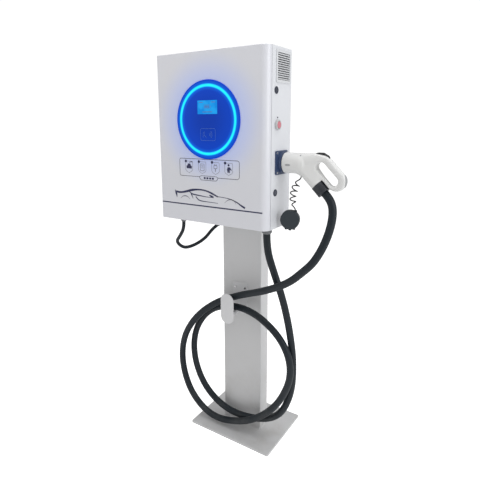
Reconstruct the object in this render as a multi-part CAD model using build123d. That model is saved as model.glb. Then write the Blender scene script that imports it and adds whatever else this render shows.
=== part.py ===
from build123d import *
import os
from math import cos, sin, tan, radians, pi

# Electric-vehicle charging post: a wall-box carried on a floor post, with its charging cable.
# Millimetres. +X to the right (towards the connector), +Y to the back, +Z up.
# The origin is the middle of the base plate's underside.

# ---- floor plate and post ----
PLATE_W, PLATE_D, PLATE_T = 450, 340, 10
PLATE_CORNER_R = 6
ANCHOR_SPACING = 300
ANCHOR_Y = 110
ANCHOR_R = 7
SUPPLY_HOLE_X, SUPPLY_HOLE_R = -50, 20
POST_W, POST_D, POST_WALL = 215, 70, 3
POST_TOP_DROP = 110
POST_EDGE_R = 4
ACCESS_W, ACCESS_H, ACCESS_Z = 120, 260, 330
ACCESS_LAP = 12
COVER_T = 2

# ---- rails between post and box ----
RAIL_GAP = 50
RAIL_LEN, RAIL_H, RAIL_T, RAIL_LIP = 420, 60, 3, 12
RAIL_UP, RAIL_DOWN = 120, 210
RAIL_SCREW_X = 70
BOX_BOLT_X = 150

# ---- box: rear housing and front door ----
BOX_W, BOX_H, BOX_Z = 540, 700, 1110
HOUSING_D = 161.5
HOUSING_T = 2
FLANGE_W = 16
SEAM = 2.5
DOOR_D = 31
DOOR_T = 1.8
DOOR_CORNER_R = 30
DOOR_HINGE_R = 4
DOOR_EDGE_R = 3
GASKET_W, GASKET_T, GASKET_INSET = 9, 2.3, 5.5

# ---- display on the door ----
DISPLAY_X, DISPLAY_DROP = -6, 269
LENS_R, LENS_PROUD, LENS_BOSS_IN, LENS_BOSS_T = 158, 3, 12, 4
GUIDE_INSET, GUIDE_W, GUIDE_DEPTH, GUIDE_PROUD = 15, 14, 1.6, 0.3
LCD_W, LCD_H, LCD_DX, LCD_DZ = 99, 54, 1, 50.5
RFID_W, RFID_H, RFID_DX, RFID_DZ = 82, 58, 2.5, -58

# ---- hinges ----
HINGE_INSET = 70
HINGE_LEN, KNUCKLE_R, HINGE_PIN_R, PIN_CLEAR = 60, 5, 2.5, 0.05
KNUCKLE_MID = 20
LEAF_T = 1.2
HINGE_OUT = 6

# ---- side fittings on the right wall ----
VENT_BACK, VENT_DROP, VENT_SIZE = 72, 71, 120
VENT_RIM, VENT_PROUD = 7, 3
SLAT_N, SLAT_PITCH = 12, 8.2
SLAT_W, SLAT_ANGLE = 7, 52
FAN_T = 32
LOCK_BACK, LOCK_UP, LOCK_DROP = 33.5, 147, 160
LOCK_BEZEL_R, LOCK_BARREL_R, LOCK_PLUG_R = 14, 10, 6.5
LOCK_REACH = 30
ESTOP_BACK, ESTOP_UP = 43, 147
ESTOP_RING_R, ESTOP_HEAD_R, ESTOP_STEM_R = 20, 13.5, 5
ESTOP_TRAVEL = 4
LAMP_BACK, LAMP_UP, LAMP_R = 46.5, 28, 3

# ---- connector holster ----
GUN_AHEAD, GUN_UP = 82, 264
HOLSTER_W, HOLSTER_H, HOLSTER_T = 100, 94, 5
COLLAR_R, COLLAR_OUT = 40, 20
CUP_BORE_R, CUP_WALL, CUP_DEPTH = 36, 3, 42

# ---- connector (gun) ----
GUN_FACE = 22
BARREL_R = 41
BARREL_LEN = 92
NOSE_R, NOSE_IN = 35, 38
SHELL_WALL = 5.5
GRIP_R = 27
GRIP_ANGLE = 45.6
LOOP_R, LOOP_T, SLOT_R = 39, 34, 17.5
SLOT_DX, SLOT_DZ, SLOT_LEN = 152, -9.8, 72
WEB_T = 50
SLOT_SHIFT, LOOP_TAIL = 8.8, 6.7
CUFF_R, CUFF_LEN = 27.5, 41
CUFF_DX, CUFF_DZ, CUFF_RUN = 166.7, -107.9, 28
LATCH_PIN_DX, LATCH_PIN_DZ, LATCH_PIN_R = 74.8, 32, 2
LATCH_W, LATCH_GAP = 14, 1.2
LATCH_STROKE = 3

# ---- cable hook ----
HOOK_X = -7
HOOK_W, HOOK_H, HOOK_T, HOOK_Z = 70, 148, 5, 677
HOOK_ARM_R, HOOK_ARM_Z, HOOK_REACH = 12, 637, 115
HOOK_BACK_W, HOOK_BACK_H, HOOK_BACK_T, HOOK_BACK_Z = 84, 160, 3, 692
HOOK_SCREW_DX, HOOK_SCREW_Z = 28, 746

# ---- cables ----
CABLE_D = 32
SUPPLY_D = 16
TETHER_D, TETHER_COIL_D = 5, 30
GLAND_INSET, GLAND_AHEAD, GLAND_DROP, GLAND_WALL = 70, 65, 42, 6
SUPPLY_INSET, SUPPLY_BACK, SUPPLY_DROP, SUPPLY_WALL = 56, 46.5, 28, 5
ENTRY_Z = 1045
ENTRY_WALL = 4
CAP_R, CAP_T, CAP_WALL, CAP_TURN = 39, 30, 4, 20
CAP_Z = 1147

# ---- equipment inside the box ----
CHASSIS_STANDOFF, CHASSIS_T = 12, 2
CHASSIS_LEFT, CHASSIS_RIGHT, CHASSIS_EDGE = 35, 65, 30
DIN_UP, DIN_H, DIN_D = 290, 35, 7.5
DEVICE_CLEAR = 0.1
MODULE_GAP, MODULE_EDGE, MODULE_DEPTH, MODULE_WALL = 8, 38, 84, 3
MODULE_UP = 62
FIN_N, FIN_H, FIN_T = 13, 12, 3
LOW_UP = 55

# ---- worked out from the sizes above ----
POST_FRONT = -POST_D / 2
BOX_BACK = POST_FRONT - RAIL_GAP
SEAM_Y = BOX_BACK - HOUSING_D
DOOR_REAR = SEAM_Y - SEAM
DOOR_FRONT = DOOR_REAR - DOOR_D
SIDE = BOX_W / 2
BOX_TOP = BOX_Z + BOX_H
HINGE_X = -SIDE - HINGE_OUT
HINGE_Y = DOOR_REAR + LEAF_T / 2
HOLSTER_FACE = SIDE + HOLSTER_T
GUN_RIM = SIDE + GUN_FACE
NOSE_TIP = GUN_RIM - NOSE_IN
POST_TOP = BOX_TOP - POST_TOP_DROP
RAIL_ZS = (BOX_Z + RAIL_UP, BOX_TOP - RAIL_DOWN)
HINGE_ZS = (BOX_Z + HINGE_INSET, (BOX_Z + BOX_TOP) / 2, BOX_TOP - HINGE_INSET)
DISPLAY_Z = BOX_TOP - DISPLAY_DROP
LENS_BOSS_R = LENS_R - LENS_BOSS_IN
GUIDE_R_OUT = LENS_R - GUIDE_INSET
GUIDE_R_IN = GUIDE_R_OUT - GUIDE_W
VENT_Y, VENT_Z = BOX_BACK - VENT_BACK, BOX_TOP - VENT_DROP
LOCK_Y = SEAM_Y + LOCK_BACK
LOCK_ZS = (BOX_Z + LOCK_UP, BOX_TOP - LOCK_DROP)
GUN_Y, GUN_Z = BOX_BACK - GUN_AHEAD, BOX_Z + GUN_UP
ESTOP_Y, ESTOP_Z = SEAM_Y + ESTOP_BACK, GUN_Z + ESTOP_UP
LAMP_Y, LAMP_Z = SEAM_Y + LAMP_BACK, ESTOP_Z + LAMP_UP
SLOT_TOP = (GUN_RIM + SLOT_DX, GUN_Z + SLOT_DZ)
CUFF_END = (GUN_RIM + CUFF_DX, GUN_Z + CUFF_DZ)
E1 = (cos(radians(GRIP_ANGLE)), -sin(radians(GRIP_ANGLE)))
E2 = (-E1[1], E1[0])
LATCH_PIN_X, LATCH_PIN_Z = GUN_RIM + LATCH_PIN_DX, GUN_Z + LATCH_PIN_DZ
GLAND_X, GLAND_Y = SIDE - GLAND_INSET, BOX_BACK - GLAND_AHEAD
SUPPLY_X, SUPPLY_Y = SUPPLY_INSET - SIDE, SEAM_Y + SUPPLY_BACK
GLAND_R, SUPPLY_R = CABLE_D / 2 + GLAND_WALL, SUPPLY_D / 2 + SUPPLY_WALL
CHASSIS_Y = BOX_BACK - HOUSING_T - CHASSIS_STANDOFF
CHASSIS_FACE = CHASSIS_Y - CHASSIS_T
CHASSIS_X0, CHASSIS_X1 = CHASSIS_LEFT - SIDE, SIDE - CHASSIS_RIGHT
DEVICE_FACE = CHASSIS_FACE - DIN_D - DEVICE_CLEAR
DIN_Z = BOX_Z + DIN_UP
LOW_Z = BOX_Z + LOW_UP

# route of the charging cable: gland, down, twice round below the hook, up to the connector
CABLE_ROOT = [
    (GLAND_X, GLAND_Y, BOX_Z - GLAND_DROP), (GLAND_X, GLAND_Y, 998), (227, -131, 890),
    (260, -104, 763), (289, -88, 608),
    (305, -78, 453), (295, -75, 293), (232, -75, 151), (90, -75, 85), (-79, -76, 79),
    (-211, -78, 168), (-274, -80, 318), (-260, -83, 476), (-170, -86, 610), (-24, -94, 676),
    (134, -105, 665), (276, -117, 571), (321, -121, 433), (263, -116, 274), (164, -113, 152),
    (33, -112, 67), (-134, -114, 32), (-264, -117, 120), (-321, -120, 274), (-305, -126, 432),
    (-222, -134, 569), (-104, -122, 676), (37, -108, 741), (173, -143, 797), (321, -188, 878),
    (361.5, -194, 917),
]
CABLE_GUN = [
    (361.5, -194, 917), (402, -200, 956), (433.7, -200, 990), (461.3, -196, 1038.5),
    (478.2, -189, 1081), (489.6, -181, 1123.5), (494.9, -173.5, 1161.5), (495.5, -169, 1193.5), (490.6, -167, 1221),
    (CUFF_END[0] + CUFF_RUN * E1[0], GUN_Y, CUFF_END[1] + CUFF_RUN * E1[1]),
    (CUFF_END[0], GUN_Y, CUFF_END[1]),
]
SUPPLY_ROUTE = [
    (SUPPLY_X, SUPPLY_Y, BOX_Z - SUPPLY_DROP), (SUPPLY_X, SUPPLY_Y, 1048), (-243, -196, 1006),
    (-283, -180, 968), (-263, -147, 930), (-223, -112, 944), (-185, -76, 976),
    (-172, -34, 1016), (-146, 0, ENTRY_Z), (-104, 0, ENTRY_Z),
]
TETHER_TOP = [(360, GUN_Y, 1323), (360, GUN_Y, 1314), (349, GUN_Y, 1308), (345, GUN_Y, 1300)]
TETHER_COIL = [(345, GUN_Y, 1300), (329, GUN_Y, 1263), (325, GUN_Y, 1228), (330, GUN_Y, 1203)]
TETHER_END = [(330, GUN_Y, 1203), (332, GUN_Y, 1196), (338, GUN_Y, 1192), (338, GUN_Y, 1186)]


def block(x0, x1, y0, y1, z0, z1):
    """Box between two corners."""
    centre = ((x0 + x1) / 2, (y0 + y1) / 2, (z0 + z1) / 2)
    return Pos(*centre) * Box(abs(x1 - x0), abs(y1 - y0), abs(z1 - z0))


def rod_x(x0, x1, y, z, r):
    return Pos((x0 + x1) / 2, y, z) * Rot(0, 90, 0) * Cylinder(r, abs(x1 - x0))


def rod_y(x, y0, y1, z, r):
    return Pos(x, (y0 + y1) / 2, z) * Rot(90, 0, 0) * Cylinder(r, abs(y1 - y0))


def rod_z(x, y, z0, z1, r):
    return Pos(x, y, (z0 + z1) / 2) * Cylinder(r, abs(z1 - z0))


def plate_x(x0, x1, y, z, w, h, r):
    """Plate across X with rounded corners, w along Y and h along Z."""
    sketch = Plane(origin=(x0, y, z), x_dir=(0, 1, 0), z_dir=(1, 0, 0)) * RectangleRounded(w, h, r)
    return extrude(sketch, x1 - x0)


def plate_y(x, y0, y1, z, w, h, r):
    """Plate across Y with rounded corners, w along X and h along Z."""
    sketch = Plane(origin=(x, y1, z), x_dir=(1, 0, 0), z_dir=(0, -1, 0)) * RectangleRounded(w, h, r)
    return extrude(sketch, y1 - y0)


def profile_y(points, y_mid, thickness):
    """Outline given as (x, z) points, thickness centred on y_mid."""
    plane = Plane(origin=(0, y_mid, 0), x_dir=(1, 0, 0), z_dir=(0, -1, 0))
    return extrude(plane * make_face(Polyline(*points, close=True)), thickness / 2, both=True)


def gun_point(d, n):
    """Point in the connector's middle plane, d along the grip and n across it."""
    return (d * E1[0] + n * E2[0], d * E1[1] + n * E2[1])


def hex_z(x, y, z0, z1, flats):
    return Pos(x, y, z0) * extrude(RegularPolygon(flats / 2, 6, major_radius=False), z1 - z0)


# ---------------------------------------------------------------- post
def base_plate():
    body = block(-PLATE_W / 2, PLATE_W / 2, -PLATE_D / 2, PLATE_D / 2, 0, PLATE_T)
    body = fillet(body.edges().filter_by(Axis.Z), PLATE_CORNER_R)
    body = chamfer(body.faces().sort_by(Axis.Z)[-1].edges(), 1)
    for x in (-ANCHOR_SPACING / 2, ANCHOR_SPACING / 2):
        body -= rod_z(x, ANCHOR_Y, -1, PLATE_T + 1, ANCHOR_R)
    return body - rod_z(SUPPLY_HOLE_X, 0, -1, PLATE_T + 1, SUPPLY_HOLE_R)


def post_tube():
    outer = block(-POST_W / 2, POST_W / 2, -POST_D / 2, POST_D / 2, PLATE_T, POST_TOP)
    outer = fillet(outer.edges().filter_by(Axis.Z), POST_EDGE_R)
    half_w, half_d = POST_W / 2 - POST_WALL, POST_D / 2 - POST_WALL
    inner = block(-half_w, half_w, -half_d, half_d, PLATE_T - 1, POST_TOP + 1)
    inner = fillet(inner.edges().filter_by(Axis.Z), POST_EDGE_R - POST_WALL)
    body = outer - inner
    body -= block(-ACCESS_W / 2, ACCESS_W / 2, 0, POST_D, ACCESS_Z - ACCESS_H / 2, ACCESS_Z + ACCESS_H / 2)
    body -= rod_x(-POST_W / 2 - 1, 0, 0, ENTRY_Z, SUPPLY_D / 2 + ENTRY_WALL)
    for x, z, front in screw_places():
        y0, y1 = (-POST_D, 0) if front else (0, POST_D)
        body -= rod_y(x, y0, y1, z, 3.2)
    return body


def screw_places():
    """Every screw in the post: (x, z, in the front wall)."""
    places = [(sx * RAIL_SCREW_X, z, True) for z in RAIL_ZS for sx in (-1, 1)]
    places += [(HOOK_X + sx * HOOK_SCREW_DX, HOOK_SCREW_Z, True) for sx in (-1, 1)]
    edge_x, edge_z = ACCESS_W / 2 + ACCESS_LAP / 2, ACCESS_H / 2 + ACCESS_LAP / 2
    places += [(sx * edge_x, ACCESS_Z + sz * edge_z, False) for sx in (-1, 1) for sz in (-1, 1)]
    return places


def post_screws():
    """Pan-head screws: rails and hook in front, access cover at the back."""
    screws = []
    for x, z, front in screw_places():
        if not front:
            seat, way, length = POST_D / 2 + COVER_T, 1, 8
        elif z == HOOK_SCREW_Z:
            seat, way, length = POST_FRONT - HOOK_BACK_T, -1, 10
        else:
            seat, way, length = POST_FRONT - RAIL_T, -1, 10
        head = rod_y(x, seat, seat + way * 3.2, z, 5.5)
        head -= rod_y(x, seat + way * 1.6, seat + way * 4, z, 2)
        screws.append(head + rod_y(x, seat - way * length, seat, z, 3))
    return Compound(children=screws)


def post_top_cap():
    lid = block(-POST_W / 2, POST_W / 2, -POST_D / 2, POST_D / 2, POST_TOP, POST_TOP + 3)
    lid = fillet(lid.edges().filter_by(Axis.Z), POST_EDGE_R)
    half_w, half_d = POST_W / 2 - POST_WALL - 0.3, POST_D / 2 - POST_WALL - 0.3
    plug = block(-half_w, half_w, -half_d, half_d, POST_TOP - 14, POST_TOP)
    hollow = block(4 - half_w, half_w - 4, 4 - half_d, half_d - 4, POST_TOP - 15, POST_TOP)
    return lid + (plug - hollow)


def access_cover():
    w, h = ACCESS_W + 2 * ACCESS_LAP, ACCESS_H + 2 * ACCESS_LAP
    body = plate_y(0, POST_D / 2, POST_D / 2 + COVER_T, ACCESS_Z, w, h, 6)
    for x, z, front in screw_places():
        if not front:
            body -= rod_y(x, 0, POST_D, z, 3.2)
    return body


def entry_grommet():
    """Rubber ring where the supply cable goes into the post's left wall."""
    wall = -POST_W / 2
    hole_r, bore_r = SUPPLY_D / 2 + ENTRY_WALL, SUPPLY_D / 2 + 0.15
    body = rod_x(wall - 3, wall, 0, ENTRY_Z, hole_r + 3) + rod_x(wall, wall + POST_WALL, 0, ENTRY_Z, hole_r)
    body += rod_x(wall + POST_WALL, wall + POST_WALL + 3, 0, ENTRY_Z, hole_r + 2)
    return body - rod_x(wall - 5, wall + 10, 0, ENTRY_Z, bore_r)


def mounting_rails():
    """Two lipped channels, web against the post and lips against the box."""
    rails = []
    for z in RAIL_ZS:
        z0, z1 = z - RAIL_H / 2, z + RAIL_H / 2
        body = block(-RAIL_LEN / 2, RAIL_LEN / 2, BOX_BACK, POST_FRONT, z0, z1)
        body -= block(-RAIL_LEN, RAIL_LEN, BOX_BACK + RAIL_T, POST_FRONT - RAIL_T, z0 + RAIL_T, z1 - RAIL_T)
        body -= block(-RAIL_LEN, RAIL_LEN, BOX_BACK - 1, BOX_BACK + RAIL_T + 1, z0 + RAIL_LIP, z1 - RAIL_LIP)
        for sx in (-1, 1):
            body -= rod_y(sx * RAIL_SCREW_X, POST_FRONT - RAIL_T - 1, POST_FRONT + 1, z, 3.2)
        rails.append(body)
    return Compound(children=rails)


def housing_bolts():
    """Bolts from inside the box into square channel nuts behind the rails' lips."""
    bolts = []
    for z in RAIL_ZS:
        for sx in (-1, 1):
            x = sx * BOX_BOLT_X
            inner = BOX_BACK - HOUSING_T
            body = rod_y(x, inner - 5, inner, z, 6.5) + rod_y(x, inner, BOX_BACK + 14, z, 4)
            nut_y = BOX_BACK + RAIL_T
            body += block(x - 14, x + 14, nut_y, nut_y + 7, z - 22, z + 22)
            bolts.append(body)
    return Compound(children=bolts)


# ---------------------------------------------------------------- box
def rear_housing():
    body = block(-SIDE, SIDE, SEAM_Y, BOX_BACK, BOX_Z, BOX_TOP)
    body = fillet(body.edges().filter_by(Axis.Z).sort_by(Axis.Y)[-2:], 3)
    t = HOUSING_T
    body -= block(t - SIDE, SIDE - t, SEAM_Y + t, BOX_BACK - t, BOX_Z + t, BOX_TOP - t)
    f = FLANGE_W
    body -= block(f - SIDE, SIDE - f, SEAM_Y - 1, SEAM_Y + t + 1, BOX_Z + f, BOX_TOP - f)
    vent = VENT_SIZE - 2 * VENT_RIM
    for x0, x1 in ((SIDE - 5, SIDE + 1), (-SIDE - 1, 5 - SIDE)):
        body -= block(x0, x1, VENT_Y - vent / 2, VENT_Y + vent / 2, VENT_Z - vent / 2, VENT_Z + vent / 2)
    for z in LOCK_ZS:
        body -= rod_x(SIDE - 5, SIDE + 1, LOCK_Y, z, LOCK_BARREL_R + 0.2)
    body -= rod_x(SIDE - 5, SIDE + 1, ESTOP_Y, ESTOP_Z, 11.2)
    body -= rod_x(SIDE - 5, SIDE + 1, LAMP_Y, LAMP_Z, LAMP_R + 0.1)
    body -= rod_x(SIDE - 5, SIDE + 1, GUN_Y, GUN_Z, CUP_BORE_R + CUP_WALL + 0.5)
    body -= rod_z(GLAND_X, GLAND_Y, BOX_Z - 1, BOX_Z + 5, CABLE_D / 2 + 3.2)
    body -= rod_z(SUPPLY_X, SUPPLY_Y, BOX_Z - 1, BOX_Z + 5, SUPPLY_D / 2 + 2.2)
    for z in RAIL_ZS:
        for sx in (-1, 1):
            body -= rod_y(sx * BOX_BOLT_X, BOX_BACK - 5, BOX_BACK + 1, z, 4.2)
    return body


def door_solid(inset):
    """The door's pan as a solid, inset by a wall on every side but the rear."""
    x, z0, z1 = SIDE - inset, BOX_Z + inset, BOX_TOP - inset
    body = block(-x, x, DOOR_FRONT + inset, DOOR_REAR, z0, z1)
    left, right = body.edges().filter_by(Axis.Z).sort_by(Axis.Y)[:2].sort_by(Axis.X)
    body = fillet(right, DOOR_CORNER_R - inset)
    body = fillet(body.edges().filter_by(Axis.Z).group_by(Axis.X)[0].sort_by(Axis.Y)[0], DOOR_HINGE_R - inset)
    front = body.faces().sort_by(Axis.Y)[0]
    return fillet(front.edges().filter_by(Axis.X), DOOR_EDGE_R - inset)


def front_door():
    body = door_solid(0)
    hollow = door_solid(DOOR_T) - block(-SIDE, SIDE, DOOR_REAR - DOOR_T, DOOR_REAR + 1, BOX_Z, BOX_TOP)
    body -= hollow
    f = FLANGE_W
    body -= block(f - SIDE, SIDE - f, DOOR_REAR - 3, DOOR_REAR + 1, BOX_Z + f, BOX_TOP - f)
    return body - rod_y(DISPLAY_X, DOOR_FRONT - 1, DOOR_FRONT + 5, DISPLAY_Z, LENS_BOSS_R + 0.3)


def door_gasket():
    """Foam strip on the housing's front flange."""
    y0 = SEAM_Y - GASKET_T
    o, i = GASKET_INSET, GASKET_INSET + GASKET_W
    ring = block(o - SIDE, SIDE - o, y0, SEAM_Y, BOX_Z + o, BOX_TOP - o)
    ring -= block(i - SIDE, SIDE - i, y0 - 1, SEAM_Y + 1, BOX_Z + i, BOX_TOP - i)
    for z in HINGE_ZS:
        ring -= block(-SIDE, -SIDE + 9.5, y0 - 1, SEAM_Y + 1, z - HINGE_LEN / 2 - 1, z + HINGE_LEN / 2 + 1)
    return ring


def knuckle(z0, z1, bore):
    return rod_z(HINGE_X, HINGE_Y, z0, z1, KNUCKLE_R) - rod_z(HINGE_X, HINGE_Y, z0 - 1, z1 + 1, bore)


def hinge_body_leaves():
    leaves = []
    for z in HINGE_ZS:
        half = HINGE_LEN / 2
        leaf = block(-SIDE - 2, -SIDE, SEAM_Y + 2.5, SEAM_Y + 26, z - half, z + half)
        mid = KNUCKLE_MID / 2
        leaf += block(HINGE_X, -SIDE, HINGE_Y + 1, SEAM_Y + 3, z - mid, z + mid)
        leaf += rod_z(HINGE_X, HINGE_Y, z - mid, z + mid, KNUCKLE_R)
        leaf -= rod_z(HINGE_X, HINGE_Y, z - mid - 1, z + mid + 1, HINGE_PIN_R)
        leaves.append(leaf)
    return Compound(children=leaves)


def hinge_door_leaves():
    leaves = []
    for z in HINGE_ZS:
        half, mid = HINGE_LEN / 2, KNUCKLE_MID / 2 + 0.5
        leaf = block(-SIDE - 0.4, -SIDE + 9, DOOR_REAR, DOOR_REAR + LEAF_T, z - half, z + half)
        for z0, z1 in ((z - half, z - mid), (z + mid, z + half)):
            leaf += block(HINGE_X, -SIDE, DOOR_REAR, DOOR_REAR + LEAF_T, z0, z1)
            leaf += rod_z(HINGE_X, HINGE_Y, z0, z1, KNUCKLE_R)
            leaf -= rod_z(HINGE_X, HINGE_Y, z0 - 1, z1 + 1, HINGE_PIN_R + PIN_CLEAR)
        leaves.append(leaf)
    return Compound(children=leaves)


def hinge_pins():
    half = HINGE_LEN / 2
    pins = [
        rod_z(HINGE_X, HINGE_Y, z - half - 1, z + half + 1, HINGE_PIN_R)
        + rod_z(HINGE_X, HINGE_Y, z + half + 1, z + half + 3, KNUCKLE_R - 1)
        for z in HINGE_ZS
    ]
    return Compound(children=pins)


def door_catches():
    """Angle brackets on the door that the lock tongues swing behind."""
    inner_x = SIDE - HOUSING_T - 20
    catches = []
    for z in LOCK_ZS:
        z0 = z + 10.5
        foot_y = DOOR_REAR - DOOR_T
        body = block(inner_x - 14, SIDE - 4, foot_y - 2, foot_y, z0, z0 + 16)
        body += block(inner_x - 14, inner_x - 2, foot_y - 2, DOOR_REAR + 14, z0, z0 + 3)
        catches.append(body)
    return Compound(children=catches)


# ---------------------------------------------------------------- display
def display_lens():
    y0 = DOOR_FRONT - LENS_PROUD
    body = rod_y(DISPLAY_X, y0, DOOR_FRONT, DISPLAY_Z, LENS_R)
    body = fillet(body.edges().sort_by(Axis.Y)[0], 1.2)
    body += rod_y(DISPLAY_X, DOOR_FRONT, DOOR_FRONT + LENS_BOSS_T, DISPLAY_Z, LENS_BOSS_R)
    groove = rod_y(DISPLAY_X, y0 - 1, y0 + GUIDE_DEPTH, DISPLAY_Z, GUIDE_R_OUT)
    groove -= rod_y(DISPLAY_X, y0 - 2, y0 + GUIDE_DEPTH + 1, DISPLAY_Z, GUIDE_R_IN)
    body -= groove
    cx, cz = DISPLAY_X + LCD_DX, DISPLAY_Z + LCD_DZ
    half_w, half_h = LCD_W / 2, LCD_H / 2
    return body - block(cx - half_w, cx + half_w, y0 - 1, DOOR_FRONT + 9, cz - half_h, cz + half_h)


def led_ring():
    y0 = DOOR_FRONT - LENS_PROUD
    body = rod_y(DISPLAY_X, y0 - GUIDE_PROUD, y0 + GUIDE_DEPTH, DISPLAY_Z, GUIDE_R_OUT - 0.1)
    return body - rod_y(DISPLAY_X, y0 - 2, y0 + 3, DISPLAY_Z, GUIDE_R_IN + 0.1)


def lcd_module():
    cx, cz = DISPLAY_X + LCD_DX, DISPLAY_Z + LCD_DZ
    y0, back = DOOR_FRONT - LENS_PROUD, DOOR_FRONT + LENS_BOSS_T
    w, h = LCD_W / 2 - 0.2, LCD_H / 2 - 0.2
    body = block(cx - w, cx + w, y0 + 0.3, back, cz - h, cz + h)
    body += block(cx - w - 6, cx + w + 6, back, back + 7, cz - h - 6, cz + h + 6)
    return body


def rfid_reader():
    cx, cz = DISPLAY_X + RFID_DX, DISPLAY_Z + RFID_DZ
    back = DOOR_FRONT + LENS_BOSS_T
    body = block(cx - RFID_W / 2, cx + RFID_W / 2, back, back + 1.6, cz - RFID_H / 2, cz + RFID_H / 2)
    body += block(cx - 9, cx + 9, back + 1.6, back + 4.2, cz - 9, cz + 9)
    return body + block(cx - 30, cx - 18, back + 1.6, back + 7, cz - 24, cz - 8)


def led_board():
    back = DOOR_FRONT + LENS_BOSS_T
    body = rod_y(DISPLAY_X, back, back + 1.6, DISPLAY_Z, GUIDE_R_OUT)
    body -= rod_y(DISPLAY_X, back - 1, back + 3, DISPLAY_Z, GUIDE_R_IN - 1)
    for i in range(24):
        a = radians(15 * i + 7.5)
        r = (GUIDE_R_IN + GUIDE_R_OUT) / 2
        body += rod_y(DISPLAY_X + r * cos(a), back + 1.6, back + 3.2, DISPLAY_Z + r * sin(a), 3)
    return body


# ---------------------------------------------------------------- side fittings
def louvre(sign):
    """Vent panel let into a side wall: raised rim, slanted slats."""
    half = VENT_SIZE / 2
    inner = half - VENT_RIM
    x_in, x_out = SIDE - HOUSING_T, SIDE + VENT_PROUD
    body = plate_x(SIDE, x_out, VENT_Y, VENT_Z, VENT_SIZE, VENT_SIZE, 5)
    body += block(x_in, SIDE, VENT_Y - inner + 0.3, VENT_Y + inner - 0.3, VENT_Z - inner + 0.3, VENT_Z + inner - 0.3)
    window = inner - 3
    body -= block(x_in - 1, x_out + 1, VENT_Y - window, VENT_Y + window, VENT_Z - window, VENT_Z + window)
    for i in range(SLAT_N):
        z = VENT_Z + (i - (SLAT_N - 1) / 2) * SLAT_PITCH
        slat = Pos(SIDE + 0.3, VENT_Y, z) * Rot(0, SLAT_ANGLE, 0) * Box(SLAT_W, 2 * window + 2, 1.2)
        body += slat & block(x_in, x_out - 0.3, VENT_Y - half, VENT_Y + half, VENT_Z - window, VENT_Z + window)
    if sign < 0:
        body = mirror(body, about=Plane.YZ)
    return body


def louvre_panels():
    return Compound(children=[louvre(1), louvre(-1)])


def dust_filter():
    """Filter mat in its frame behind the left vent."""
    x0, half = -SIDE + HOUSING_T, VENT_SIZE / 2
    body = block(x0, x0 + 9, VENT_Y - half, VENT_Y + half, VENT_Z - half + 2, VENT_Z + half - 2)
    return fillet(body.edges().filter_by(Axis.X), 4)


def fan_frame():
    x1 = SIDE - HOUSING_T
    x0, half = x1 - FAN_T, VENT_SIZE / 2 - 0.5
    body = plate_x(x0, x1, VENT_Y, VENT_Z, 2 * half, 2 * half, 8)
    body -= rod_x(x0 - 1, x1 + 1, VENT_Y, VENT_Z, half - 2.5)
    spoke = block(x0, x0 + 3, VENT_Y - half + 1, VENT_Y + half - 1, VENT_Z - 3, VENT_Z + 3)
    cross = spoke + Pos(0, VENT_Y, VENT_Z) * Rot(90, 0, 0) * Pos(0, -VENT_Y, -VENT_Z) * spoke
    hub = rod_x(x0, x0 + 5, VENT_Y, VENT_Z, 20)
    return body + cross + hub + rod_x(x0 + 5, x0 + 24, VENT_Y, VENT_Z, 2)


def fan_rotor():
    x0 = SIDE - HOUSING_T - FAN_T + 6
    body = rod_x(x0, x0 + 22, VENT_Y, VENT_Z, 19)
    for i in range(7):
        blade = Pos(x0 + 11, VENT_Y, VENT_Z) * Rot(360 / 7 * i, 0, 0) * Pos(0, 0, 36)
        body += blade * Rot(0, 0, 38) * Box(1.6, 24, 37)
    return body - rod_x(x0 - 1, x0 + 19, VENT_Y, VENT_Z, 2.05)


def lock_barrels():
    barrels = []
    for z in LOCK_ZS:
        body = rod_x(SIDE, SIDE + 3, LOCK_Y, z, LOCK_BEZEL_R)
        body = chamfer(body.edges().sort_by(Axis.X)[-1], 1)
        body += rod_x(SIDE - 22, SIDE, LOCK_Y, z, LOCK_BARREL_R)
        body += rod_x(SIDE - HOUSING_T - 4, SIDE - HOUSING_T, LOCK_Y, z, 13)
        body -= rod_x(SIDE - 25, SIDE + 4, LOCK_Y, z, LOCK_PLUG_R + PIN_CLEAR)
        barrels.append(body)
    return Compound(children=barrels)


def lock_cam(z):
    """Key plug with its tongue, pointing at the door when locked."""
    x0 = SIDE - 26
    body = rod_x(x0, SIDE + 2.6, LOCK_Y, z, LOCK_PLUG_R)
    body -= block(SIDE - 6, SIDE + 3, LOCK_Y - 0.8, LOCK_Y + 0.8, z - 4, z + 4)
    tongue = block(x0, x0 + 3, LOCK_Y - LOCK_REACH + 9, LOCK_Y, z - 9, z + 9)
    tongue += rod_x(x0, x0 + 3, LOCK_Y, z, 9) + rod_x(x0, x0 + 3, LOCK_Y - LOCK_REACH + 9, z, 9)
    return body + tongue


def estop_body():
    ring = rod_x(SIDE, SIDE + 10, ESTOP_Y, ESTOP_Z, ESTOP_RING_R)
    ring = chamfer(ring.edges().sort_by(Axis.X)[-1], 2)
    ring -= rod_x(SIDE + 0.5, SIDE + 11, ESTOP_Y, ESTOP_Z, ESTOP_HEAD_R + 1.5)
    barrel = rod_x(SIDE - 24, SIDE, ESTOP_Y, ESTOP_Z, 11)
    nut = rod_x(SIDE - HOUSING_T - 5, SIDE - HOUSING_T, ESTOP_Y, ESTOP_Z, 15)
    switch = block(SIDE - 50, SIDE - 24, ESTOP_Y - 15, ESTOP_Y + 15, ESTOP_Z - 20, ESTOP_Z + 20)
    body = ring + barrel + nut + switch
    return body - rod_x(SIDE - 34, SIDE + 12, ESTOP_Y, ESTOP_Z, ESTOP_STEM_R + PIN_CLEAR)


def estop_stem():
    body = rod_x(SIDE - 24, SIDE + 6, ESTOP_Y, ESTOP_Z, ESTOP_STEM_R)
    return body - rod_x(SIDE - 3, SIDE + 7, ESTOP_Y, ESTOP_Z, 2.5 + PIN_CLEAR)


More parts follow.
